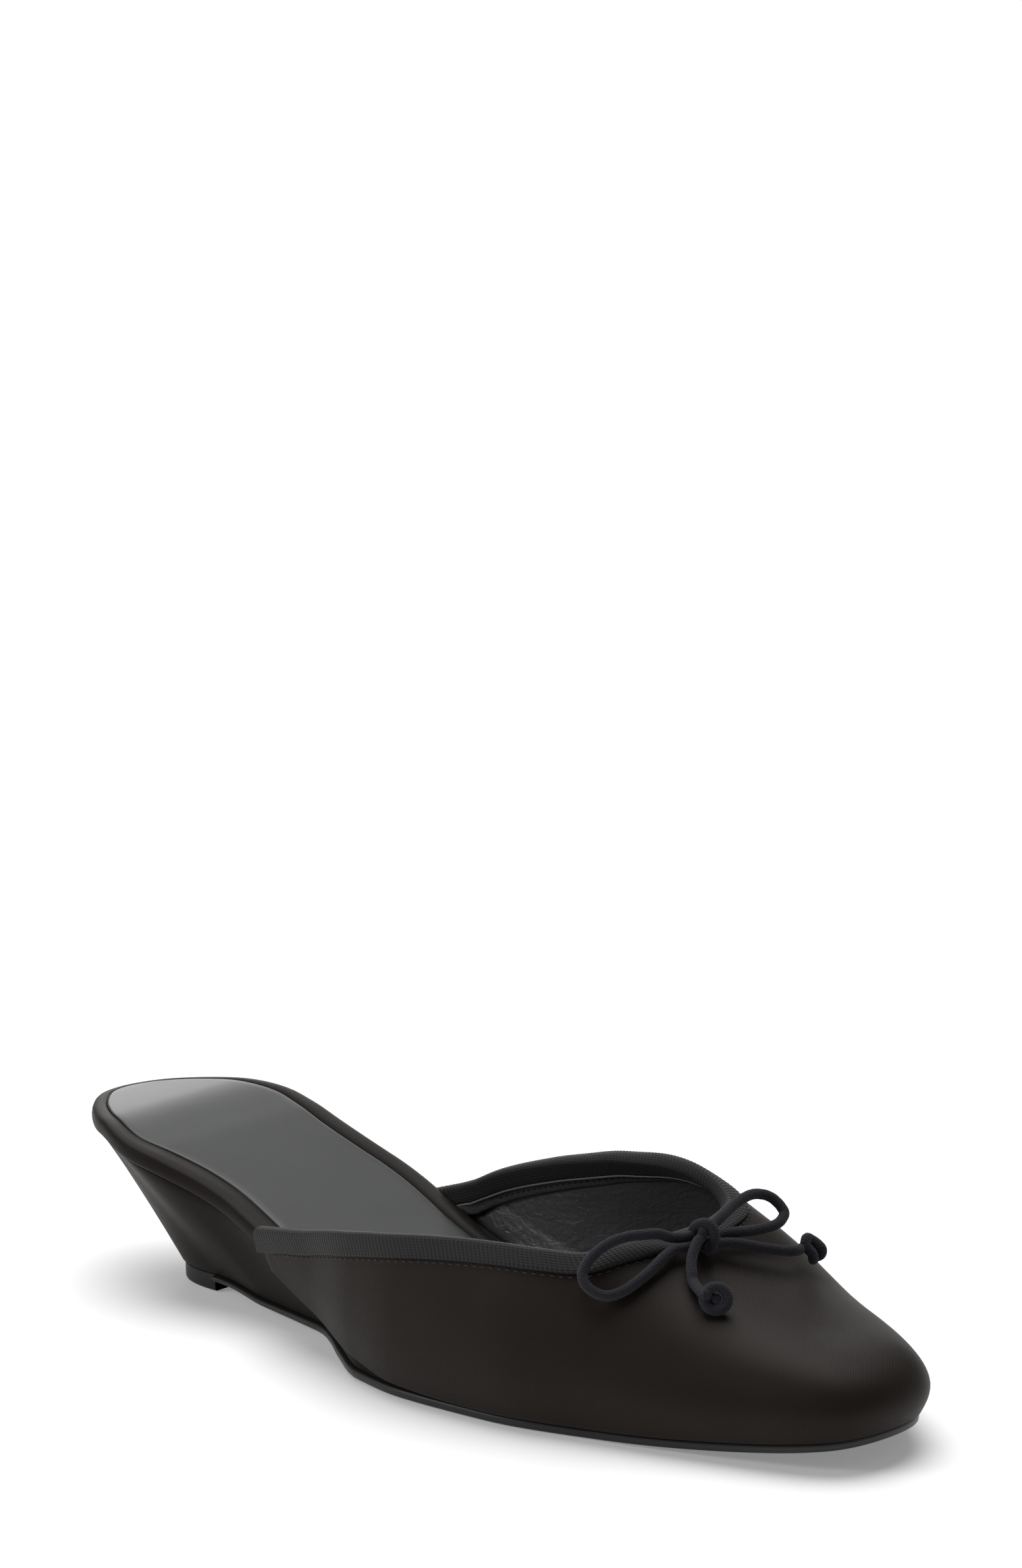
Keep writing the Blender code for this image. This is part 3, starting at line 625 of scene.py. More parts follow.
def joined(name, pieces):
    """Join several pieces to one."""
    bpy.ops.object.select_all(action="DESELECT")
    for piece in pieces:
        piece.select_set(True)
    bpy.context.view_layer.objects.active = pieces[0]
    bpy.ops.object.join()
    whole = bpy.context.object
    whole.name = name
    whole.data.name = name
    return whole


def running_lengths(points):
    """Return the length walked along a row of points, up to each."""
    walked = [0.0]
    for a, b in zip(points, points[1:]):
        walked.append(walked[-1] + (b - a).length)
    return walked


def find_span(walked, place):
    """Return the span of a walked row that holds a place, and the share of the way through it."""
    low = min(bisect_right(walked, place) - 1, len(walked) - 2)
    span = max(walked[low + 1] - walked[low], 1e-9)
    return low, min((place - walked[low]) / span, 1.0)


def edge_marks(rows):
    """Mark rows of section points by the way round the shoe's edge and the way over its section."""
    half = len(rows[0]) // 2
    marks = []
    for row, walked in zip(rows, running_lengths([row[1] for row in rows])):
        over = running_lengths(row)
        marks.append([(walked if col < half else -walked, over[col]) for col in range(len(row))])
    return marks


def plan_marks(rows):
    """Mark rows of points by their place across and along the shoe."""
    return [[(point.x, point.y) for point in row] for row in rows]


def cloth_mark(point):
    """Unfold a point of the upper onto its flat cloth, from the ridge outwards."""
    toe_y = CENTRE_ALONG - TOE_CREST * INSOLE_LENGTH
    ridge = Vector((CENTRE_SHIFT, max(point.y, toe_y)))
    way = Vector((point.x, point.y)) - ridge
    if way.length < 1e-6:
        return (ridge.x, ridge.y)
    station = (CENTRE_ALONG - ridge.y) / INSOLE_LENGTH
    drop = max(crest_top(station) - point.z, 0.0)
    flat = (way.length ** CLOTH_POWER + drop ** CLOTH_POWER) ** (1 / CLOTH_POWER)
    way = way.normalized() * flat
    return (ridge.x + way.x, ridge.y + way.y)


def cloth_marks(rows):
    """Unfold rows of points of the upper onto its flat cloth."""
    return [[cloth_mark(point) for point in row] for row in rows]


def plate_rows(layers, places, top_steps):
    """Return closed section rows of a plate from layers, each a function of side and station."""
    rows = []
    for place in places:
        outer = [layer(OUTER, place) for layer in layers]
        inner = [layer(INNER, place) for layer in layers]
        top = [outer[-1].lerp(inner[-1], k / top_steps) for k in range(1, top_steps)]
        bottom = [inner[0].lerp(outer[0], k / PLATE_BOTTOM_STEPS) for k in range(1, PLATE_BOTTOM_STEPS + 1)]
        rows.append(outer + top + inner[::-1] + bottom)
    return rows


def laid_plate(name, layers, places, finish, marked=edge_marks, top_steps=PLATE_TOP_STEPS):
    """Lay a closed plate over its layers and give it its finish."""
    rows = plate_rows(layers, places, top_steps)
    piece = laid_sheet(name, rows, marked(rows), closed=True)
    piece.data.materials.append(finish)
    return piece


def layer_of(half, out, height, start=0.0, end=1.0):
    """Return a layer for a plate: an outline moved out, at a height worked out from its station."""
    def layer(side, station):
        move = out(station) if callable(out) else out
        point, _ = edge(half, side, station, move, start, end)
        return world(side, point.x, point.y, height(point.x / INSOLE_LENGTH))
    return layer


# Sole, wedge, insole and sock


def build_sole():
    """Thin leather sole with a rounded edge."""
    out = UPPER_WALL + CLEARANCE - SOLE_SETBACK
    start = LIFT_FRONT + CLEARANCE / INSOLE_LENGTH

    def level(share):
        return lambda station: sole_bottom(station) + share * sole_thickness(station)

    profile = [(0.0006, 0.0), (0.00025, 0.05), (0.00005, 0.18), (0.0, 0.4), (0.0, 0.62),
               (0.00008, 0.82), (0.0003, 0.95), (0.0006, 1.0)]
    layers = [layer_of(sole_half, out - inset, level(share), start) for inset, share in profile]
    places = stations(start, 1.0, SOLE_STEPS, (SOLE_FLAT_START, SPRING_START))
    piece = laid_plate("sole_leather", layers, places, sole_finish())
    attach(piece, "root")
    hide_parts("outsole")


def build_heel_tip():
    """Small rubber piece under the heel, its lower rim eased."""
    out = UPPER_WALL + CLEARANCE - SOLE_SETBACK - LIFT_SETBACK
    profile = [(0.0006, 0.0), (0.0002, 0.0001), (0.0, 0.0005), (0.0, 0.5 * LIFT_HEIGHT),
               (0.0, LIFT_HEIGHT - 0.0003), (0.0002, LIFT_HEIGHT)]

    def flat(height):
        return lambda station: height

    layers = [layer_of(base_half, out - inset, flat(height), LIFT_BACK, LIFT_FRONT)
              for inset, height in profile]
    places = stations(LIFT_BACK, LIFT_FRONT, LIFT_STEPS)
    piece = laid_plate("heel_tip", layers, places, heel_tip_finish())
    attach(piece, "root")
    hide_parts("top_lift")


def build_wedge_cover():
    """Wedge wrapped in satin, its cloth drawn in a little over the seam with the rim."""
    out = UPPER_WALL + CLEARANCE - SOLE_SETBACK - WEDGE_FOOT_SETBACK

    def layer(share, inset):
        def point_at(side, station):
            way = station / WEDGE_END
            foot_station = LIFT_BACK + (WEDGE_END - LIFT_BACK) * way
            head, _ = edge(board_half, side, station, -WEDGE_SETBACK - inset)
            foot, _ = edge(base_half, side, foot_station, out - inset, LIFT_BACK, 1.0)
            plan = head.lerp(foot, share)
            top = underside(head.x / INSOLE_LENGTH) - CLEARANCE
            low = max(sole_top(foot.x / INSOLE_LENGTH), LIFT_HEIGHT * (foot_station < LIFT_FRONT))
            return world(side, plan.x, plan.y, top + (low + CLEARANCE - top) * share)
        return point_at

    places = [WEDGE_END * (1 - math.cos(math.pi / 2 * k / WEDGE_STEPS)) for k in range(WEDGE_STEPS + 1)]
    layers = [layer(1.0, 0.0003)]
    layers += [layer(share, 0.0) for share in (0.99, 0.9, 0.75, 0.6, 0.45, 0.3, 0.15, 0.04)]
    layers.append(layer(0.0, 0.0004))
    # The wedge's satin is painted darker: painted shade on its side, which catches less light.
    finish = satin_finish("wedge_satin", slant=0.6, spacing=0.0004, painted_shade=0.55)
    piece = laid_plate("wedge_cover", layers, places, finish)
    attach(piece, "root")
    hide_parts("wedge")


def sock_inset(station):
    """Distance from the board's edge to the sock's, narrow round the heel."""
    return SOCK_HEEL_INSET + (SOCK_INSET - SOCK_HEEL_INSET) * ease(station, *SOCK_INSET_BLEND)


def insole_step():
    """Stations between which the insole's floor steps up over the upper's margin."""
    wing = min(WING_START.values())
    return tuple(wing - before for before in STEP_BEFORE_WING)


def build_insole_rim():
    """Insole board wrapped in satin: a soft round rim with a shallow bed for the sock."""
    def floor(station):
        return underside(station) + (UPPER_WALL + CLEARANCE) * ease(station, *insole_step())

    def level(share):
        return lambda station: floor(station) + share * (board_top(station) - floor(station))

    def bed(station):
        return board_top(station) - SOCK_RECESS

    def inward(distance):
        return lambda station: -distance - (HIDDEN_GAP - CLEARANCE) * ease(station, *insole_step())

    profile = [(0.0012, 0.0), (0.0005, 0.03), (0.0001, 0.14), (0.0, 0.32), (0.0, 0.5), (0.0001, 0.68),
               (0.00035, 0.83), (0.0008, 0.93), (0.0015, 0.985), (0.0022, 1.0)]
    layers = [layer_of(board_half, inward(inset), level(share)) for inset, share in profile]
    layers += [
        layer_of(board_half, lambda station: CLEARANCE - sock_inset(station), board_top),
        layer_of(board_half, lambda station: CLEARANCE / 2 - sock_inset(station), bed),
    ]
    places = stations(0.0, 1.0, BOARD_STEPS, insole_step())
    # The rim's satin is painted darker: painted shade.
    finish = satin_finish("rim_satin", slant=0.3, spacing=0.00036, painted_shade=0.7)
    piece = laid_plate("insole_rim", layers, places, finish)
    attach(piece, "root")
    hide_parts("insole")


def build_sock_leather():
    """Thin leather sock with an eased edge, laid in the insole's bed."""
    def low(station):
        return board_top(station) - SOCK_RECESS + CLEARANCE

    def level(share):
        return lambda station: low(station) + share * SOCK_THICKNESS

    profile = [(0.0001, 0.0), (0.0, 0.3), (0.00005, 0.7), (0.00025, 0.93), (0.0006, 1.0)]
    layers = [layer_of(board_half, lambda station, inset=inset: -sock_inset(station) - inset, level(share))
              for inset, share in profile]
    places = stations(0.0, 1.0, BOARD_STEPS, insole_step())
    piece = laid_plate("sock_leather_lining", layers, places, sock_finish(), plan_marks, SOCK_TOP_STEPS)
    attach(piece, "root")
    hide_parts("sock")


# Upper with its lining, binding and seams

def margin_share(sweep):
    """Share of the lasting margin under a rib: small at the wing's end and soon whole."""
    return min(1.0, (20 * sweep + 2) / 7)


def side_rows(side):
    """Rows of points of one side of the upper, from the wing's end to the toe."""
    ribs = []
    for k in range(OPEN_RIBS + 1):
        sweep = k / OPEN_RIBS
        station, top = top_edge(side, sweep)
        base = rib_base(side, sweep) if k < OPEN_RIBS else station
        ribs.append((base, station, top, margin_share(sweep)))
    for k in range(1, TOE_RIBS + 1):
        station = THROAT + (1 - THROAT) * math.sin(math.pi / 2 * k / TOE_RIBS)
        ribs.append((station, station, 1.0, 1.0))
    rows = []
    for base, station, top, margin in ribs:
        row = [margin_point(side, base, margin), margin_point(side, base, margin / 2)]
        for col in range(GIRTH_STEPS + 1):
            share = (col / GIRTH_STEPS) ** GIRTH_CROWD
            row.append(upper_point(side, base + (station - base) * share, top * share))
        rows.append(row)
    return rows


def turn_top_up(piece):
    """Turn an open shell's faces so that they look up at its topmost point."""
    work = bmesh.new()
    work.from_mesh(piece.data)
    topmost = max(work.verts, key=lambda vertex: vertex.co.z)
    if topmost.normal.z < 0:
        bmesh.ops.reverse_faces(work, faces=work.faces)
    work.to_mesh(piece.data)
    work.free()


def build_upper_shell():
    """Vamp of satin on leather: one wall with the cloth outside and the lining inside."""
    halves = []
    for side in (OUTER, INNER):
        rows = side_rows(side)
        halves.append(laid_sheet("vamp_half", rows, cloth_marks(rows)))
    piece = joined("upper_shell", halves)
    merge_and_turn_out(piece)
    turn_top_up(piece)
    piece.data.materials.append(satin_finish("vamp_satin", slant=-1.0, spacing=0.00056))
    piece.data.materials.append(lining_finish())
    finished(piece, "SOLIDIFY", thickness=UPPER_WALL, offset=-1.0, use_even_offset=True,
             thickness_clamp=1.0, material_offset=1, material_offset_rim=0)
    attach(piece, "root")
    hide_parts("upper")


# A place on the topline: its point, the way down the face, the outward normal, and the rates at
# which station and girth change on the way down
ToplinePlace = namedtuple("ToplinePlace", "side station girth here down normal rates")


def topline_places(count):
    """Places along the topline from the outer wing, round the throat, to the inner wing."""
    seats = [(OUTER, *top_edge(OUTER, k / count)) for k in range(count + 1)]
    seats += [(INNER, *top_edge(INNER, k / count)) for k in reversed(range(count))]
    points = [upper_point(*seat) for seat in seats]
    places = []
    for index, (side, station, girth) in enumerate(seats):
        here, along, round_rate, normal = surface_frame(side, station, girth)
        before = points[max(index - 1, 0)]
        after = points[min(index + 1, len(points) - 1)]
        down = (after - before).normalized().cross(normal).normalized()
        a11, a12, a22 = along.dot(along), along.dot(round_rate), round_rate.dot(round_rate)
        b1, b2 = down.dot(along), down.dot(round_rate)
        scale = a11 * a22 - a12 * a12
        rates = ((b1 * a22 - b2 * a12) / scale, (b2 * a11 - b1 * a12) / scale)
        places.append(ToplinePlace(side, station, girth, here, down, normal, rates))
    return places


TOPLINE_PLACES = topline_places(TOPLINE_COUNT)
# The lining's fold starts a little way in from the outer wing and stops short of the inner one
FOLD_PLACES = TOPLINE_PLACES[3:-1]


def below_topline(topline, depth, lift):
    """Point that far below the topline on the upper's face, lifted off it."""
    if depth <= 0:
        return topline.here + topline.down * depth + topline.normal * lift
    station = topline.station + topline.rates[0] * depth
    girth = max(topline.girth + topline.rates[1] * depth, LEAST_GIRTH)
    point, _, _, normal = surface_frame(topline.side, station, girth)
    return point + normal * lift


def band_depths(topline):
    """Depths of the binding's outer and inner bands where it is, narrower at the wings' ends."""
    fall = -topline.rates[1]
    limit = (topline.girth - BAND_END_GIRTH) / fall if fall > 0 else RIBBON_BAND
    outer = min(RIBBON_BAND, limit)
    if abs(topline.down.z) <= STEEP_FALL:
        return outer, RIBBON_INNER_BAND
    room = limit if topline.side == INNER else topline.here.z - board_top(topline.station) - CLEARANCE
    return outer, max(LEAST_BAND, min(RIBBON_INNER_BAND, room))


def ribbon_section(topline):
    """Section of the folded ribbon, as pairs of depth and lift, outer edge first."""
    outer, inner = band_depths(topline)
    thick = CLEARANCE + RIBBON_THICKNESS
    within = -UPPER_WALL - HIDDEN_GAP
    face = within - RIBBON_THICKNESS
    middle = (thick + face) / 2
    reach = (thick - face) / 2
    section = [(outer, CLEARANCE), (outer, thick - RIBBON_BEVEL), (outer * 0.96, thick)]
    section += [(outer * share, thick) for share in (0.82, 0.66, 0.5, 0.34, 0.18, 0.04)]
    for k in range(1, 10):
        angle = math.pi * k / 10
        section.append((-RIBBON_BULGE * reach * math.sin(angle), middle + reach * math.cos(angle)))
    section += [(inner * share, face) for share in (0.04, 0.3, 0.6, 0.9)]
    section += [(inner, face + RIBBON_BEVEL), (inner, within), (inner * 0.5, within), (0.0, within)]
    section += [(0.0, CLEARANCE), (outer * 0.5, CLEARANCE), (outer, CLEARANCE)]
    return section


# Columns of the ribbon's section that show, and so have its ribs
RIBBED_COLUMNS = range(2, 22)


def build_topline_binding():
    """Grosgrain ribbon folded over the topline, with its ribs raised across it."""
    coarse = [[below_topline(topline, depth, lift) for depth, lift in ribbon_section(topline)]
              for topline in TOPLINE_PLACES]
    centres = [sum(row[:-1], Vector()) / (len(row) - 1) for row in coarse]
    walked = running_lengths([topline.here for topline in TOPLINE_PLACES])
    count = round(walked[-1] / (RIBBON_RIB / 5))
    rows = []
    marks = []
    for k in range(count + 1):
        place = walked[-1] * k / count
        low, t = find_span(walked, place)
        row = [a.lerp(b, t) for a, b in zip(coarse[low], coarse[low + 1])]
        middle = centres[low].lerp(centres[low + 1], t)
        over = running_lengths(row)
        raised = list(row)
        for col in RIBBED_COLUMNS:
            across = (row[col + 1] - row[col - 1]).normalized()
            ahead = (coarse[low + 1][col] - coarse[low][col]).normalized()
            normal = ahead.cross(across).normalized()
            if normal.dot(row[col] - middle) < 0:
                normal.negate()
            phase = 2 * math.pi * (place + RIBBON_RIB_SLANT * over[col]) / RIBBON_RIB
            lift = RIBBON_RIB_RISE * math.sin(phase)
            raised[col] = row[col] + normal * lift
        rows.append(raised)
        marks.append([(place, way) for way in over])
    piece = laid_tube("topline_binding", rows, marks)
    piece.data.materials.append(ribbon_finish())
    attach(piece, "root")
    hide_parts("binding")


FoldPoint = namedtuple("FoldPoint", "inward band lift proud")
# Section of the lining's fold: metres in from the ribbon and a share of the fold's band, then a
# share of the fold's lift and metres up out of the lining
LINING_FOLD_ROWS = [
    FoldPoint(0.0000, 0.00, 0.00, 0.0001),
    FoldPoint(0.0000, 0.00, 0.80, 0.0000),
    FoldPoint(0.0001, 0.00, 1.00, 0.0000),
    FoldPoint(0.0003, 0.00, 1.00, -0.0001),
    FoldPoint(0.0006, 0.00, 1.00, 0.0000),
    FoldPoint(0.0000, 0.40, 0.55, 0.0000),
    FoldPoint(0.0000, 0.60, 0.45, 0.0000),
    FoldPoint(0.0000, 0.85, 0.20, 0.0000),
    FoldPoint(0.0000, 1.00, 0.00, 0.0001),
    FoldPoint(0.0000, 0.50, 0.00, 0.0002),
    FoldPoint(0.0000, 0.00, 0.00, 0.0001),
]


def build_lining_fold():
    """Folded top edge of the lining, a thin raised band below the ribbon's inner edge."""
    rows = []
    for topline in FOLD_PLACES:
        start = band_depths(topline)[1] + LINING_FOLD_START
        rows.append([below_topline(topline, start + point.inward + point.band * LINING_FOLD_BAND,
                                   -UPPER_WALL - point.lift * LINING_FOLD_LIFT + point.proud)
                     for point in LINING_FOLD_ROWS])
    piece = laid_tube("lining_fold", rows, cloth_marks(rows))
    piece.data.materials.append(lining_finish())
    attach(piece, "root")


def build_fold_edge():
    """Edge of the lining's leather, a thin line painted pale along the ribbon's inner edge: a painted
    highlight on an edge that sits in shade.
    """
    radius = FOLD_EDGE / 2
    middle_lift = -UPPER_WALL - LINING_FOLD_LIFT - radius
    rows = []
    for topline in FOLD_PLACES:
        middle = band_depths(topline)[1] + FOLD_EDGE_DROP
        row = []
        for k in range(FOLD_EDGE_RING + 1):
            angle = 2 * math.pi * (k % FOLD_EDGE_RING) / FOLD_EDGE_RING
            depth = middle + radius * math.cos(angle)
            row.append(below_topline(topline, depth, middle_lift + radius * math.sin(angle)))
        rows.append(row)
    piece = laid_tube("lining_edge", rows, cloth_marks(rows))
    piece.data.materials.append(edge_painted_highlight_finish())
    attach(piece, "root")


def one_stitch():
    """One stitch: a short lens of thread, flattened where it bites into the cloth."""
    bpy.ops.object.select_all(action="DESELECT")
    bpy.ops.mesh.primitive_uv_sphere_add(segments=8, ring_count=6, radius=0.5)
    stitch = bpy.context.object
    stitch.data.transform(Matrix.Diagonal((STITCH_WIDTH, STITCH_LENGTH, STITCH_WIDTH, 1.0)))
    for vertex in stitch.data.vertices:
        dip = (2 * vertex.co.y / STITCH_LENGTH) ** 2
        vertex.co.z -= 0.5 * STITCH_WIDTH * dip
    stitch.data.shade_smooth()
    return stitch


def sew(name, seats, finish):
    """Copy the stitch to each seat and join the copies to one row."""
    stitch = one_stitch()
    copies = []
    for seat in seats:
        copy = stitch.copy()
        copy.data = stitch.data.copy()
        copy.data.transform(seat)
        bpy.context.scene.collection.objects.link(copy)
        copies.append(copy)
    bpy.data.objects.remove(stitch, do_unlink=True)
    piece = joined(name, copies)
    piece.data.materials.append(finish)
    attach(piece, "root")
    return piece


def seam_seats(band, drop, lift, skip):
    """Seats of evenly spaced stitches that far below the ribbon's outer or inner band, 0 or 1."""
    places = TOPLINE_PLACES[skip:-skip]
    line = [below_topline(topline, band_depths(topline)[band] + drop, lift) for topline in places]
    normals = [topline.normal if lift >= 0 else -topline.normal for topline in places]
    walked = running_lengths(line)
    seats = []
    for k in range(int(walked[-1] / STITCH_PITCH)):
        low, t = find_span(walked, (k + 0.5) * STITCH_PITCH)
        ahead = (line[low + 1] - line[low]).normalized()
        up = normals[low].lerp(normals[low + 1], t)
        up = (up - ahead * up.dot(ahead)).normalized()
        aside = ahead.cross(up)
        seat = Matrix((aside, ahead, up)).transposed().to_4x4()
        seat.translation = line[low].lerp(line[low + 1], t)
        seats.append(seat)
    return seats


def build_seams():
    """Stitch rows below the binding outside, and on the lining's fold inside."""
    outer_seats = seam_seats(0, OUTER_STITCH_DROP, OUTER_STITCH_LIFT, skip=3)
    outer = sew("binding_stitches", outer_seats, thread_finish())
    inner_lift = -UPPER_WALL - 0.75 * LINING_FOLD_LIFT
    inner_seats = seam_seats(1, LINING_STITCH_DROP, inner_lift, skip=10)
    inner = sew("lining_stitches", inner_seats, thread_finish())


# Cord bow


def smooth_curve(points):
    """Return closely spaced points on a smooth curve through the given ones."""
    ends = [points[0] * 2 - points[1]] + list(points) + [points[-1] * 2 - points[-2]]
    dense = []
    for k in range(len(points) - 1):
        a, b, c, d = ends[k:k + 4]
        for step in range(CURVE_STEPS):
            t = step / CURVE_STEPS
            dense.append(0.5 * (b * 2 + (c - a) * t + (a * 2 - b * 5 + c * 4 - d) * t ** 2
                                + (b * 3 - a - c * 3 + d) * t ** 3))
    dense.append(points[-1])
    return dense


def even_route(dense, spacing):
    """Return evenly spaced points along a dense route, and its length."""
    walked = running_lengths(dense)
    count = max(2, round(walked[-1] / spacing))
    route = []
    for k in range(count + 1):
        low, t = find_span(walked, walked[-1] * k / count)
        route.append(dense[low].lerp(dense[low + 1], t))
    return route, walked[-1]


def bow_point(row):
    """Place one row of a bow table."""
    centre = Vector((-BOW_SHIFT, CENTRE_ALONG - BOW_STATION * INSOLE_LENGTH, THROAT_HEIGHT + BOW_RISE))
    return centre + BOW_SPAN * Vector((row.aside, -row.ahead, row.rise))


def braided_cord(name, points):
    """Make a round braided cord along points: a grid rolled up round the route, its strands raised."""
    route, length = even_route(smooth_curve(points), CORD_STEP)
    tangents = [(route[min(k + 1, len(route) - 1)] - route[max(k - 1, 0)]).normalized()
                for k in range(len(route))]
    aside = tangents[0].orthogonal().normalized()
    rows = []
    marks = []
    for k, (centre, tangent) in enumerate(zip(route, tangents)):
        aside = (aside - tangent * aside.dot(tangent)).normalized()
        other = tangent.cross(aside)
        walked = length * k / (len(route) - 1)
        from_end = min(walked, length - walked)
        closing = max(0.0, 1.0 - (from_end + CORD_TIP) / (CORD_CAP * CORD_DIAMETER))
        cap = math.sqrt(max(0.0, 1.0 - closing ** 2))
        lay = 2 * math.pi * walked / (CORD_LAY * CORD_DIAMETER)
        row = []
        for col in range(CORD_RING + 1):
            angle = 2 * math.pi * (col % CORD_RING) / CORD_RING
            strand = max(math.sin(CORD_STRANDS * angle + 2 * lay), math.sin(CORD_STRANDS * angle - 2 * lay))
            radius = (CORD_DIAMETER / 2 + CORD_STRAND_RISE * (strand - CORD_STRAND_LEVEL)) * cap
            row.append(centre + (aside * math.cos(angle) + other * math.sin(angle)) * radius)
        rows.append(row)
        marks.append([(walked, math.pi * CORD_DIAMETER * col / CORD_RING) for col in range(CORD_RING + 1)])
    piece = laid_tube(name, rows, marks)
    piece.data.materials.append(cord_finish())
    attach(piece, "root")
    return piece, route, length


def coil(centre, axis, first, radius, start, turns, pitch):
    """Points of a coil round an axis, its angles counted from the direction called first."""
    axis = axis.normalized()
    first = (first - axis * first.dot(axis)).normalized()
    other = axis.cross(first)
    points = []
    count = round(turns * RING_STEPS)
    for k in range(count + 1):
        angle = start + 2 * math.pi * turns * k / count
        level = centre + axis * (pitch * turns * (k / count - 0.5))
        points.append(level + first * (radius * math.cos(angle)) + other * (radius * math.sin(angle)))
    return points


# Directions at the knots: along the bow, out of the vamp, and away from the front
BOW_ALONG = Vector((0.733, -0.607, -0.307))
BOW_OUT = Vector((-0.002, -0.454, 0.891))
BOW_AWAY = Vector((0.680, 0.652, 0.334))
INNER_KNOT = BowPoint(0.465, 0.206, -0.139)
FRONT_KNOT = BowPoint(-0.226, 0.276, -0.177)
FRONT_FACING = Vector((-0.622, -0.657, 0.426))

# Ring that ends the front tail: metres, its start as an angle, its turns and the points of one turn
END_RING = 0.0025
RING_SETBACK = 0.0004
RING_PITCH = 0.0009
RING_START = -0.06 * math.pi
RING_TURNS = 1.02
RING_STEPS = 14

PokePoint = namedtuple("PokePoint", "facing to_tail")
# The cord's end poked through that ring, in metres out towards the front and over to the tail
POKE_ROWS = [
    PokePoint(-0.0020, 0.0004),
    PokePoint(-0.0010, 0.0000),
    PokePoint(0.0004, 0.0000),
]

KnotPoint = namedtuple("KnotPoint", "along out away")
# Route of the knot's wrap and of the inner tail's overhand knot, in diameters of the cord
WRAP_ROWS = [
    KnotPoint(-0.30, -1.10, 0.75),
    KnotPoint(-0.85, -0.45, 0.60),
    KnotPoint(-0.95, 0.45, 0.20),
    KnotPoint(-0.62, 1.15, -0.10),
    KnotPoint(0.00, 1.45, -0.35),
    KnotPoint(0.55, 1.20, -0.75),
    KnotPoint(0.85, 0.50, -1.10),
    KnotPoint(0.90, -0.35, -1.15),
    KnotPoint(0.72, -1.05, -0.80),
    KnotPoint(0.35, -1.25, 0.05),
    KnotPoint(0.00, -0.75, 0.95),
    KnotPoint(-0.15, 0.15, 1.05),
    KnotPoint(-0.22, 0.85, 0.30),
    KnotPoint(-0.28, 0.85, -0.55),
    KnotPoint(-0.36, 0.26, -1.00),
]
OVERHAND_ROWS = [
    KnotPoint(-0.55, -0.05, 0.25),
    KnotPoint(0.05, -0.42, 0.20),
    KnotPoint(0.55, -0.62, -0.10),
    KnotPoint(0.90, -0.18, -0.25),
    KnotPoint(0.78, 0.38, -0.15),
    KnotPoint(0.28, 0.56, 0.20),
    KnotPoint(-0.30, 0.66, 0.45),
    KnotPoint(-0.88, 0.95, 0.10),
    KnotPoint(-0.85, 0.55, -0.55),
    KnotPoint(-0.12, 0.12, -0.85),
    KnotPoint(0.22, -0.40, -0.85),
    KnotPoint(0.38, -0.95, -0.40),
]


def knot_point(centre, row):
    """Place one row of a knot's table round its centre."""
    step = BOW_ALONG * row.along + BOW_OUT * row.out + BOW_AWAY * row.away
    return centre + CORD_DIAMETER * step


def declare_cord(made, exit_point, nodes):
    """Hide the solids that a finished cord stands for."""
    piece, route, length = made
    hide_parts(*nodes)
    tuple(exit_point)
    [tuple(point) for point in route]


def front_end_knot(tail_end):
    """Points of the front tail's end knot: a ring, and the cord's end poked through it."""
    centre = bow_point(FRONT_KNOT)
    facing = FRONT_FACING.normalized()
    to_tail = tail_end - centre
    to_tail = (to_tail - facing * to_tail.dot(facing)).normalized()
    ring = coil(centre - facing * RING_SETBACK, -facing, to_tail, END_RING, RING_START, RING_TURNS,
                RING_PITCH)
    poke = [centre + facing * row.facing + to_tail * row.to_tail for row in POKE_ROWS]
    return ring + poke


def build_bow():
    """Cord bow: two loops, a wrapped knot that runs into the front tail, and a tail with its knot."""
    outer = braided_cord("bow_loop_outer_cord", [bow_point(row) for row in LOOP_OUTER_ROWS])
    inner = braided_cord("bow_loop_inner_cord", [bow_point(row) for row in LOOP_INNER_ROWS])
    declare_cord(outer, outer[1][0], ["bow_loop_outer"])
    declare_cord(inner, inner[1][0], ["bow_loop_inner"])
    # The tails' points inside a knot give way to the knot's own
    knot = bow_point(BowPoint(0.0, 0.0, 0.0))
    wrap = [knot_point(knot, row) for row in WRAP_ROWS]
    tail = [bow_point(row) for row in TAIL_FRONT_ROWS[2:]]
    front = braided_cord("bow_tail_front_cord", wrap + tail[:-1] + front_end_knot(tail[-1]))
    declare_cord(front, front[1][0], ["bow_tail_front", "tail_knot_front", "bow_knot"])
    tail = [bow_point(row) for row in TAIL_INNER_ROWS[:-1]]
    overhand = [knot_point(bow_point(INNER_KNOT), row) for row in OVERHAND_ROWS]
    back = braided_cord("bow_tail_inner_cord", tail + overhand)
    declare_cord(back, back[1][0], ["bow_tail_inner", "tail_knot_inner"])


# Finishes


def new_group(name, inputs, outputs):
    """Start a shader group with named sockets and return its tree with its input and output nodes."""
    tree = bpy.data.node_groups.new(name, "ShaderNodeTree")
    for label, kind, value in inputs:
        socket = tree.interface.new_socket(name=label, in_out="INPUT", socket_type=kind)
        if value is not None:
            socket.default_value = value
    for label, kind in outputs:
        tree.interface.new_socket(name=label, in_out="OUTPUT", socket_type=kind)
    return tree, tree.nodes.new("NodeGroupInput"), tree.nodes.new("NodeGroupOutput")


def math_node(tree, operation, a, b=None):
    """Add a Math node fed by sockets or numbers."""
    node = tree.nodes.new("ShaderNodeMath")
    node.operation = operation
    for socket, value in zip(node.inputs, (a, b)):
        if value is None:
            continue
        if isinstance(value, (int, float)):
            socket.default_value = value
        else:
            tree.links.new(value, socket)
    return node.outputs[0]


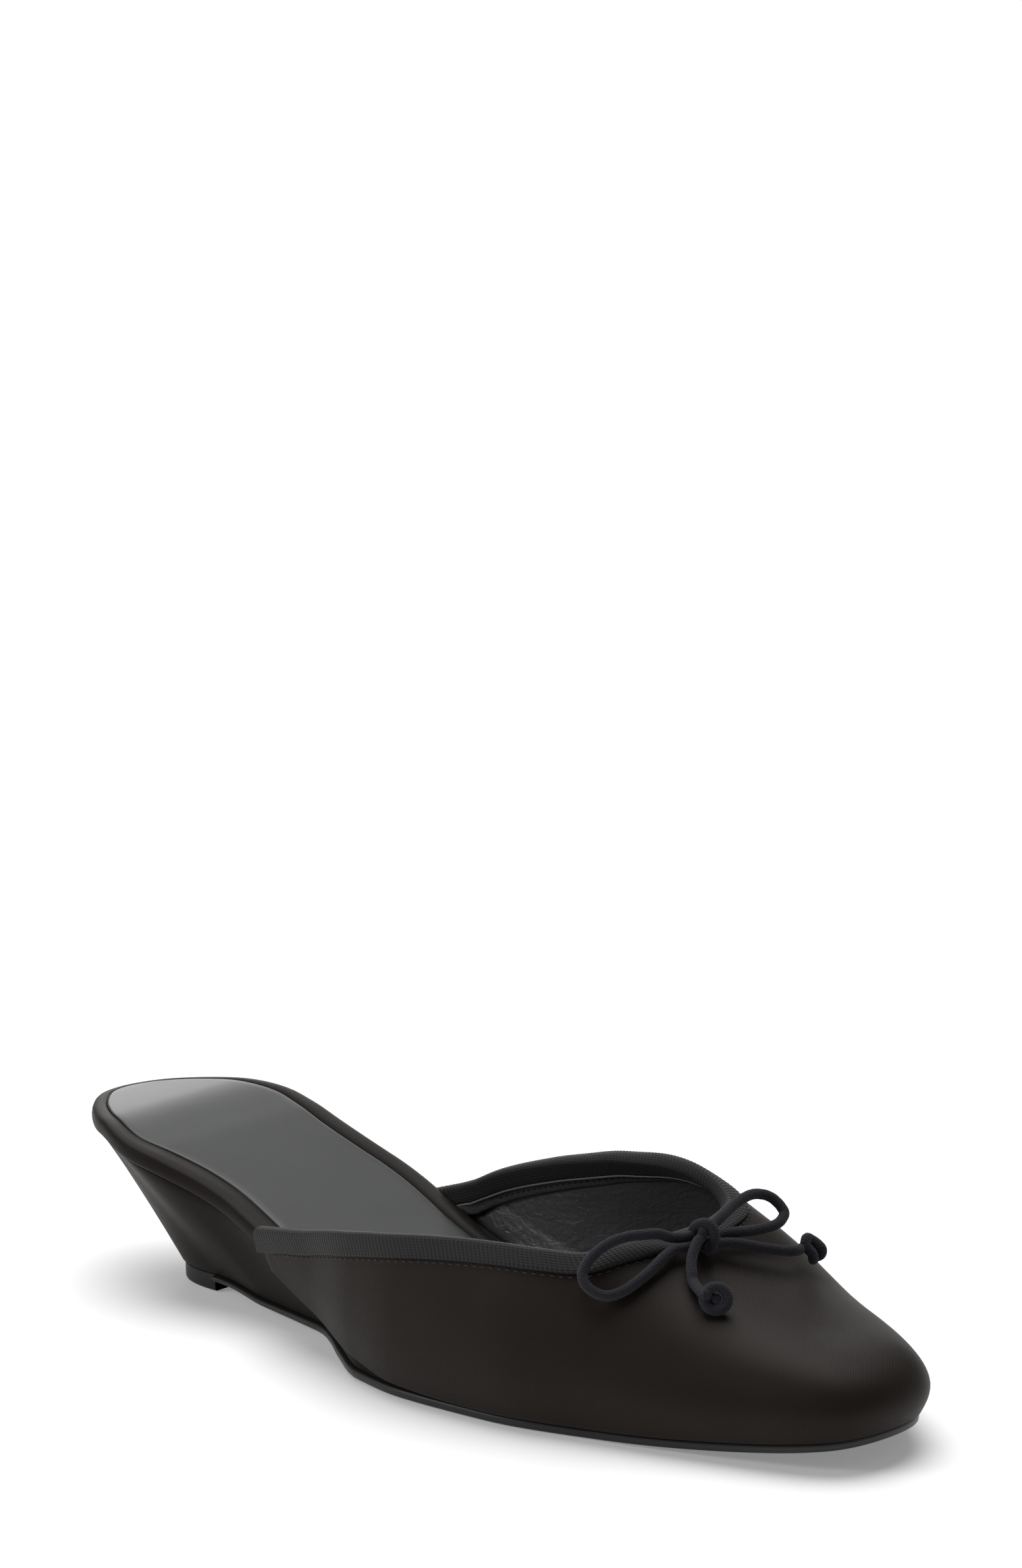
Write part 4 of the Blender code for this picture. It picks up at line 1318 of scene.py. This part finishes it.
def rib_height(tree, along, across, slant, spacing):
    """Height of ribs that far apart, slanted over the cloth, from 0 to 1."""
    lean = math_node(tree, "MULTIPLY", across, slant)
    place = math_node(tree, "ADD", along, lean)
    turns = math_node(tree, "DIVIDE", place, spacing)
    angle = math_node(tree, "MULTIPLY", turns, 2 * math.pi)
    wave = math_node(tree, "SINE", angle)
    half = math_node(tree, "MULTIPLY", wave, 0.5)
    return math_node(tree, "ADD", half, 0.5)


def noise_node(tree, vector, scale, detail):
    """Add a Noise texture that reads a vector."""
    node = tree.nodes.new("ShaderNodeTexNoise")
    node.inputs["Scale"].default_value = scale
    node.inputs["Detail"].default_value = detail
    tree.links.new(vector, node.inputs["Vector"])
    return node


def cloth_ribs_group():
    """Group that gives the height of twill ribs, crossed by finer threads, and a soft mottle."""
    tree, given, result = new_group(
        "cloth_ribs",
        [("Cloth", "NodeSocketVector", None), ("Spacing", "NodeSocketFloat", 0.0004),
         ("Slant", "NodeSocketFloat", 0.7), ("Thread", "NodeSocketFloat", 0.0003),
         ("Cross", "NodeSocketFloat", 0.3)],
        [("Height", "NodeSocketFloat"), ("Mottle", "NodeSocketFloat")])
    cloth = given.outputs["Cloth"]
    split = tree.nodes.new("ShaderNodeSeparateXYZ")
    tree.links.new(cloth, split.inputs[0])
    wander = math_node(tree, "MULTIPLY", noise_node(tree, cloth, 900.0, 3.0).outputs[0], 0.00025)
    along = math_node(tree, "ADD", split.outputs[0], wander)
    ribs = rib_height(tree, along, split.outputs[1], given.outputs["Slant"], given.outputs["Spacing"])
    threads = rib_height(tree, split.outputs[1], split.outputs[0], 0.0, given.outputs["Thread"])
    crossed = math_node(tree, "MULTIPLY", threads, given.outputs["Cross"])
    height = math_node(tree, "ADD", ribs, crossed)
    tree.links.new(height, result.inputs["Height"])
    tree.links.new(noise_node(tree, cloth, 60.0, 4.0).outputs[0], result.inputs["Mottle"])
    return tree


# Wrinkles of the lining: how much longer they are than wide, and their turn on the flat cloth,
# at which they run along the shoe on the inner wall
WRINKLE_STRETCH = 3.0
WRINKLE_TURN = math.radians(56)


def grain_group():
    """Group that gives leather grain: fine pebbles and, by their shares, wrinkles and broad waves."""
    tree, given, result = new_group(
        "leather_grain",
        [("Place", "NodeSocketVector", None), ("Scale", "NodeSocketFloat", 700.0),
         ("Wrinkles", "NodeSocketFloat", 0.0), ("Waves", "NodeSocketFloat", 0.0)],
        [("Height", "NodeSocketFloat"), ("Mottle", "NodeSocketFloat")])
    place = given.outputs["Place"]
    cells = tree.nodes.new("ShaderNodeTexVoronoi")
    cells.feature = "SMOOTH_F1"
    tree.links.new(place, cells.inputs["Vector"])
    tree.links.new(given.outputs["Scale"], cells.inputs["Scale"])
    pebbles = math_node(tree, "MULTIPLY", cells.outputs["Distance"], 0.5)
    stretch = tree.nodes.new("ShaderNodeMapping")
    stretch.vector_type = "TEXTURE"
    stretch.inputs["Scale"].default_value = (WRINKLE_STRETCH, 1.0, 1.0)
    stretch.inputs["Rotation"].default_value = (0.0, 0.0, WRINKLE_TURN)
    tree.links.new(place, stretch.inputs["Vector"])
    drawn = noise_node(tree, stretch.outputs[0], 560.0, 5.0)
    drawn.inputs["Distortion"].default_value = 1.2
    wrinkles = math_node(tree, "MULTIPLY", drawn.outputs[0], given.outputs["Wrinkles"])
    height = math_node(tree, "ADD", pebbles, wrinkles)
    broad = noise_node(tree, place, 45.0, 3.0)
    waves = math_node(tree, "MULTIPLY", broad.outputs[0], given.outputs["Waves"])
    height = math_node(tree, "ADD", height, waves)
    tree.links.new(height, result.inputs["Height"])
    tree.links.new(broad.outputs[0], result.inputs["Mottle"])
    return tree


CLOTH_RIBS = cloth_ribs_group()
LEATHER_GRAIN = grain_group()


def start_finish(name, roughness, **sockets):
    """Start a material and set its shader's plain sockets."""
    material = bpy.data.materials.new(name)
    material.use_nodes = True
    shader = material.node_tree.nodes["Principled BSDF"]
    shader.inputs["Roughness"].default_value = roughness
    for label, value in sockets.items():
        shader.inputs[label.replace("_", " ")].default_value = value
    return material, material.node_tree, shader


def cloth_vector(tree):
    """The piece's own UV map in metres."""
    node = tree.nodes.new("ShaderNodeUVMap")
    node.uv_map = "cloth"
    return node.outputs[0]


def object_vector(tree):
    """The piece's own coordinates in metres."""
    return tree.nodes.new("ShaderNodeTexCoord").outputs["Object"]


def place_group(tree, group, values):
    """Place a shader group and set its values; a socket in values is linked."""
    node = tree.nodes.new("ShaderNodeGroup")
    node.node_tree = group
    for label, value in values.items():
        if isinstance(value, bpy.types.NodeSocket):
            tree.links.new(value, node.inputs[label])
        else:
            node.inputs[label].default_value = value
    return node


def two_tone(tree, shader, mask, dark, light):
    """Colour a shader between two tones by a mask."""
    mix = tree.nodes.new("ShaderNodeMix")
    mix.data_type = "RGBA"
    mix.inputs["A"].default_value = (*dark, 1.0)
    mix.inputs["B"].default_value = (*light, 1.0)
    tree.links.new(mask, mix.inputs["Factor"])
    tree.links.new(mix.outputs["Result"], shader.inputs["Base Color"])


def raise_bumps(tree, shader, height, distance, strength=1.0):
    """Feed a height to a shader's normal."""
    bump = tree.nodes.new("ShaderNodeBump")
    bump.inputs["Distance"].default_value = distance
    bump.inputs["Strength"].default_value = strength
    tree.links.new(height, bump.inputs["Height"])
    tree.links.new(bump.outputs[0], shader.inputs["Normal"])


def woven(started, dark, light, depth, strength=1.0, toned_by="Height", **ribs):
    """Give a started material its ribs and raise them; its two tones follow their mottle, or their height,
    which paints shade into the grooves between ribs.
    """
    material, tree, shader = started
    cloth = place_group(tree, CLOTH_RIBS, {"Cloth": cloth_vector(tree), **ribs})
    two_tone(tree, shader, cloth.outputs[toned_by], dark, light)
    raise_bumps(tree, shader, cloth.outputs["Height"], depth, strength)
    return material


def grained(started, dark, light, depth, strength=1.0, vector=cloth_vector, **grain):
    """Give a started material leather grain: two tones by its mottle, and the grain raised."""
    material, tree, shader = started
    leather = place_group(tree, LEATHER_GRAIN, {"Place": vector(tree), **grain})
    two_tone(tree, shader, leather.outputs["Mottle"], dark, light)
    raise_bumps(tree, shader, leather.outputs["Height"], depth, strength)
    return material


def satin_finish(name, slant, spacing, painted_shade=1.0):
    """Black duchess satin: fine slanted twill with a soft warm sheen; a shade factor below 1 darkens its
    colour, which is painted shade.
    """
    started = start_finish(name, 0.48, Specular_IOR_Level=0.09, Specular_Tint=(1.0, 0.94, 0.88, 1.0),
                           Sheen_Weight=0.03, Sheen_Roughness=0.4, Sheen_Tint=(1.0, 0.92, 0.84, 1.0))
    # The shade factor scales the colour down: painted shade for pieces that catch less light.
    dark = [painted_shade * part for part in (0.0138, 0.0108, 0.0092)]
    light = [painted_shade * part for part in (0.0200, 0.0162, 0.0142)]
    return woven(started, dark, light, depth=0.00004, strength=0.6, toned_by="Mottle",
                 Spacing=spacing, Slant=slant, Thread=0.0003, Cross=0.25)


def ribbon_finish():
    """Charcoal grosgrain: matt ribs, its colour darker between them as painted shade in the grooves."""
    started = start_finish("binding_ribbon", 0.62, Specular_IOR_Level=0.25, Sheen_Weight=0.05,
                           Sheen_Roughness=0.5)
    # Darker colour in the grooves between ribs: painted shade.
    return woven(started, dark=(0.0048, 0.0048, 0.0048), light=(0.0160, 0.0156, 0.0160), depth=0.00006,
                 Spacing=RIBBON_RIB, Slant=RIBBON_RIB_SLANT, Thread=0.0006, Cross=0.5)


def cord_finish():
    """Bluish charcoal braid, matt and a little fuzzy."""
    started = start_finish("bow_cord", 0.85, Specular_IOR_Level=0.2, Sheen_Weight=0.06,
                           Sheen_Roughness=0.6)
    # Its colour is darker in the low parts of its ribs and threads: painted shade.
    return woven(started, dark=(0.008, 0.008, 0.012), light=(0.020, 0.020, 0.027), depth=0.00006,
                 Spacing=0.00055, Slant=0.25, Thread=0.00045, Cross=0.7)


def sock_finish():
    """Grey-black smooth leather with broad soft highlights."""
    started = start_finish("sock_leather", 0.40, Specular_IOR_Level=0.14, Coat_Weight=0.32,
                           Coat_Roughness=0.3)
    return grained(started, dark=(0.013, 0.0135, 0.014), light=(0.032, 0.033, 0.034), depth=0.00003,
                   strength=0.5, Scale=900.0, Wrinkles=0.15, Waves=7.0)


def lining_finish():
    """Black lining leather: glossy, with fine drawn wrinkles."""
    started = start_finish("lining_leather", 0.36, Specular_IOR_Level=1.0, Coat_Weight=0.8,
                           Coat_Roughness=0.25)
    return grained(started, dark=(0.042, 0.042, 0.044), light=(0.100, 0.100, 0.104), depth=0.00020,
                   Scale=800.0, Wrinkles=1.2)


def edge_painted_highlight_finish():
    """Lining leather's edge, painted paler and bluer than the lining's face: a painted highlight."""
    started = start_finish("lining_edge_painted_highlight", 0.4)
    # Pale colour for an edge that sits in shade: painted highlight.
    return grained(started, dark=(0.150, 0.158, 0.185), light=(0.230, 0.240, 0.275), depth=0.00003,
                   Scale=1200.0, Wrinkles=0.2)


def sole_finish():
    """Painted leather sole: black with a smooth sheen on its edge."""
    started = start_finish("sole_edge_paint", 0.4, Specular_IOR_Level=0.3)
    return grained(started, dark=(0.018, 0.018, 0.019), light=(0.030, 0.031, 0.032), depth=0.00004,
                   strength=0.5, Scale=500.0, Wrinkles=0.3)


def heel_tip_finish():
    """Dense black rubber."""
    started = start_finish("heel_tip_rubber", 0.5, Specular_IOR_Level=0.25)
    return grained(started, dark=(0.012, 0.012, 0.012), light=(0.020, 0.020, 0.020), depth=0.00003,
                   strength=0.5, Scale=1400.0, Wrinkles=0.1)


def thread_finish():
    """Black sewing thread."""
    return grained(start_finish("seam_thread", 0.6), dark=(0.010, 0.010, 0.010),
                   light=(0.022, 0.021, 0.021), depth=0.00004, strength=0.5, vector=object_vector,
                   Scale=3000.0, Wrinkles=0.2)


# Floor, light and camera

Light = namedtuple("Light", "name kind place spread power")
# Soft lights aimed at the origin; a sun's spread is an angle and an area light's its side in metres
LIGHTS = [
    Light("overhead_softbox", "SUN", (0.34, 0.40, 1.30), math.radians(50), 2.5),
    Light("low_softbox", "AREA", (1.30, 1.30, 0.46), 0.95, 7.2),
    Light("side_softbox", "AREA", (-0.80, 0.65, 0.50), 0.35, 3.0),
]


def build_surround():
    """Surround that fills softly, and looks white where the camera sees it."""
    surround = bpy.data.worlds.new("studio")
    surround.use_nodes = True
    bpy.context.scene.world = surround
    tree = surround.node_tree
    path = tree.nodes.new("ShaderNodeLightPath")
    strength = math_node(tree, "MULTIPLY", path.outputs["Is Camera Ray"], 1.0 - SURROUND_FILL)
    strength = math_node(tree, "ADD", strength, SURROUND_FILL)
    background = tree.nodes["Background"]
    background.inputs["Color"].default_value = (1.0, 1.0, 1.0, 1.0)
    tree.links.new(strength, background.inputs["Strength"])


def build_light(light):
    """One soft light, aimed at the origin."""
    lamp = bpy.data.lights.new(light.name, light.kind)
    lamp.energy = light.power
    setattr(lamp, "angle" if light.kind == "SUN" else "size", light.spread)
    holder = bpy.data.objects.new(light.name, lamp)
    holder.location = light.place
    holder.rotation_euler = (-Vector(light.place)).to_track_quat("-Z", "Y").to_euler()
    bpy.context.scene.collection.objects.link(holder)


def build_stage():
    """White floor under soft light from above, and a white surround."""
    bpy.ops.object.select_all(action="DESELECT")
    bpy.ops.mesh.primitive_plane_add(size=FLOOR_SIZE)
    floor = bpy.context.object
    floor.name = "white_floor"
    floor.data.transform(Matrix.Translation((0.0, 0.0, -FLOOR_DROP)))
    material, _, _ = start_finish("floor_white", 0.9, Base_Color=(0.9, 0.9, 0.9, 1.0),
                                  Emission_Color=(1.0, 1.0, 1.0, 1.0), Emission_Strength=0.22)
    floor.data.materials.append(material)
    build_surround()
    for light in LIGHTS:
        build_light(light)
    bpy.context.scene.view_settings.view_transform = "Standard"


def build_camera():
    """Camera at the photograph's place and angle."""
    data = bpy.data.cameras.new("photo_camera")
    data.sensor_fit = "VERTICAL"
    data.sensor_height = CAMERA_SENSOR
    data.lens = CAMERA_LENS
    data.clip_start = 0.05
    data.clip_end = 100.0
    camera = bpy.data.objects.new("photo_camera", data)
    place = Vector(CAMERA_PLACE)
    look = (Vector(CAMERA_AIM) - place).to_track_quat("-Z", "Y").to_matrix()
    turned = look @ Matrix.Rotation(math.radians(CAMERA_ROLL), 3, "Z")
    camera.matrix_world = Matrix.Translation(place) @ turned.to_4x4()
    bpy.context.scene.collection.objects.link(camera)
    bpy.context.scene.camera = camera


build_camera()
build_stage()
build_bow()
build_sole()
build_heel_tip()
build_wedge_cover()
build_insole_rim()
build_sock_leather()
build_upper_shell()
build_topline_binding()
build_lining_fold()
build_fold_edge()
build_seams()
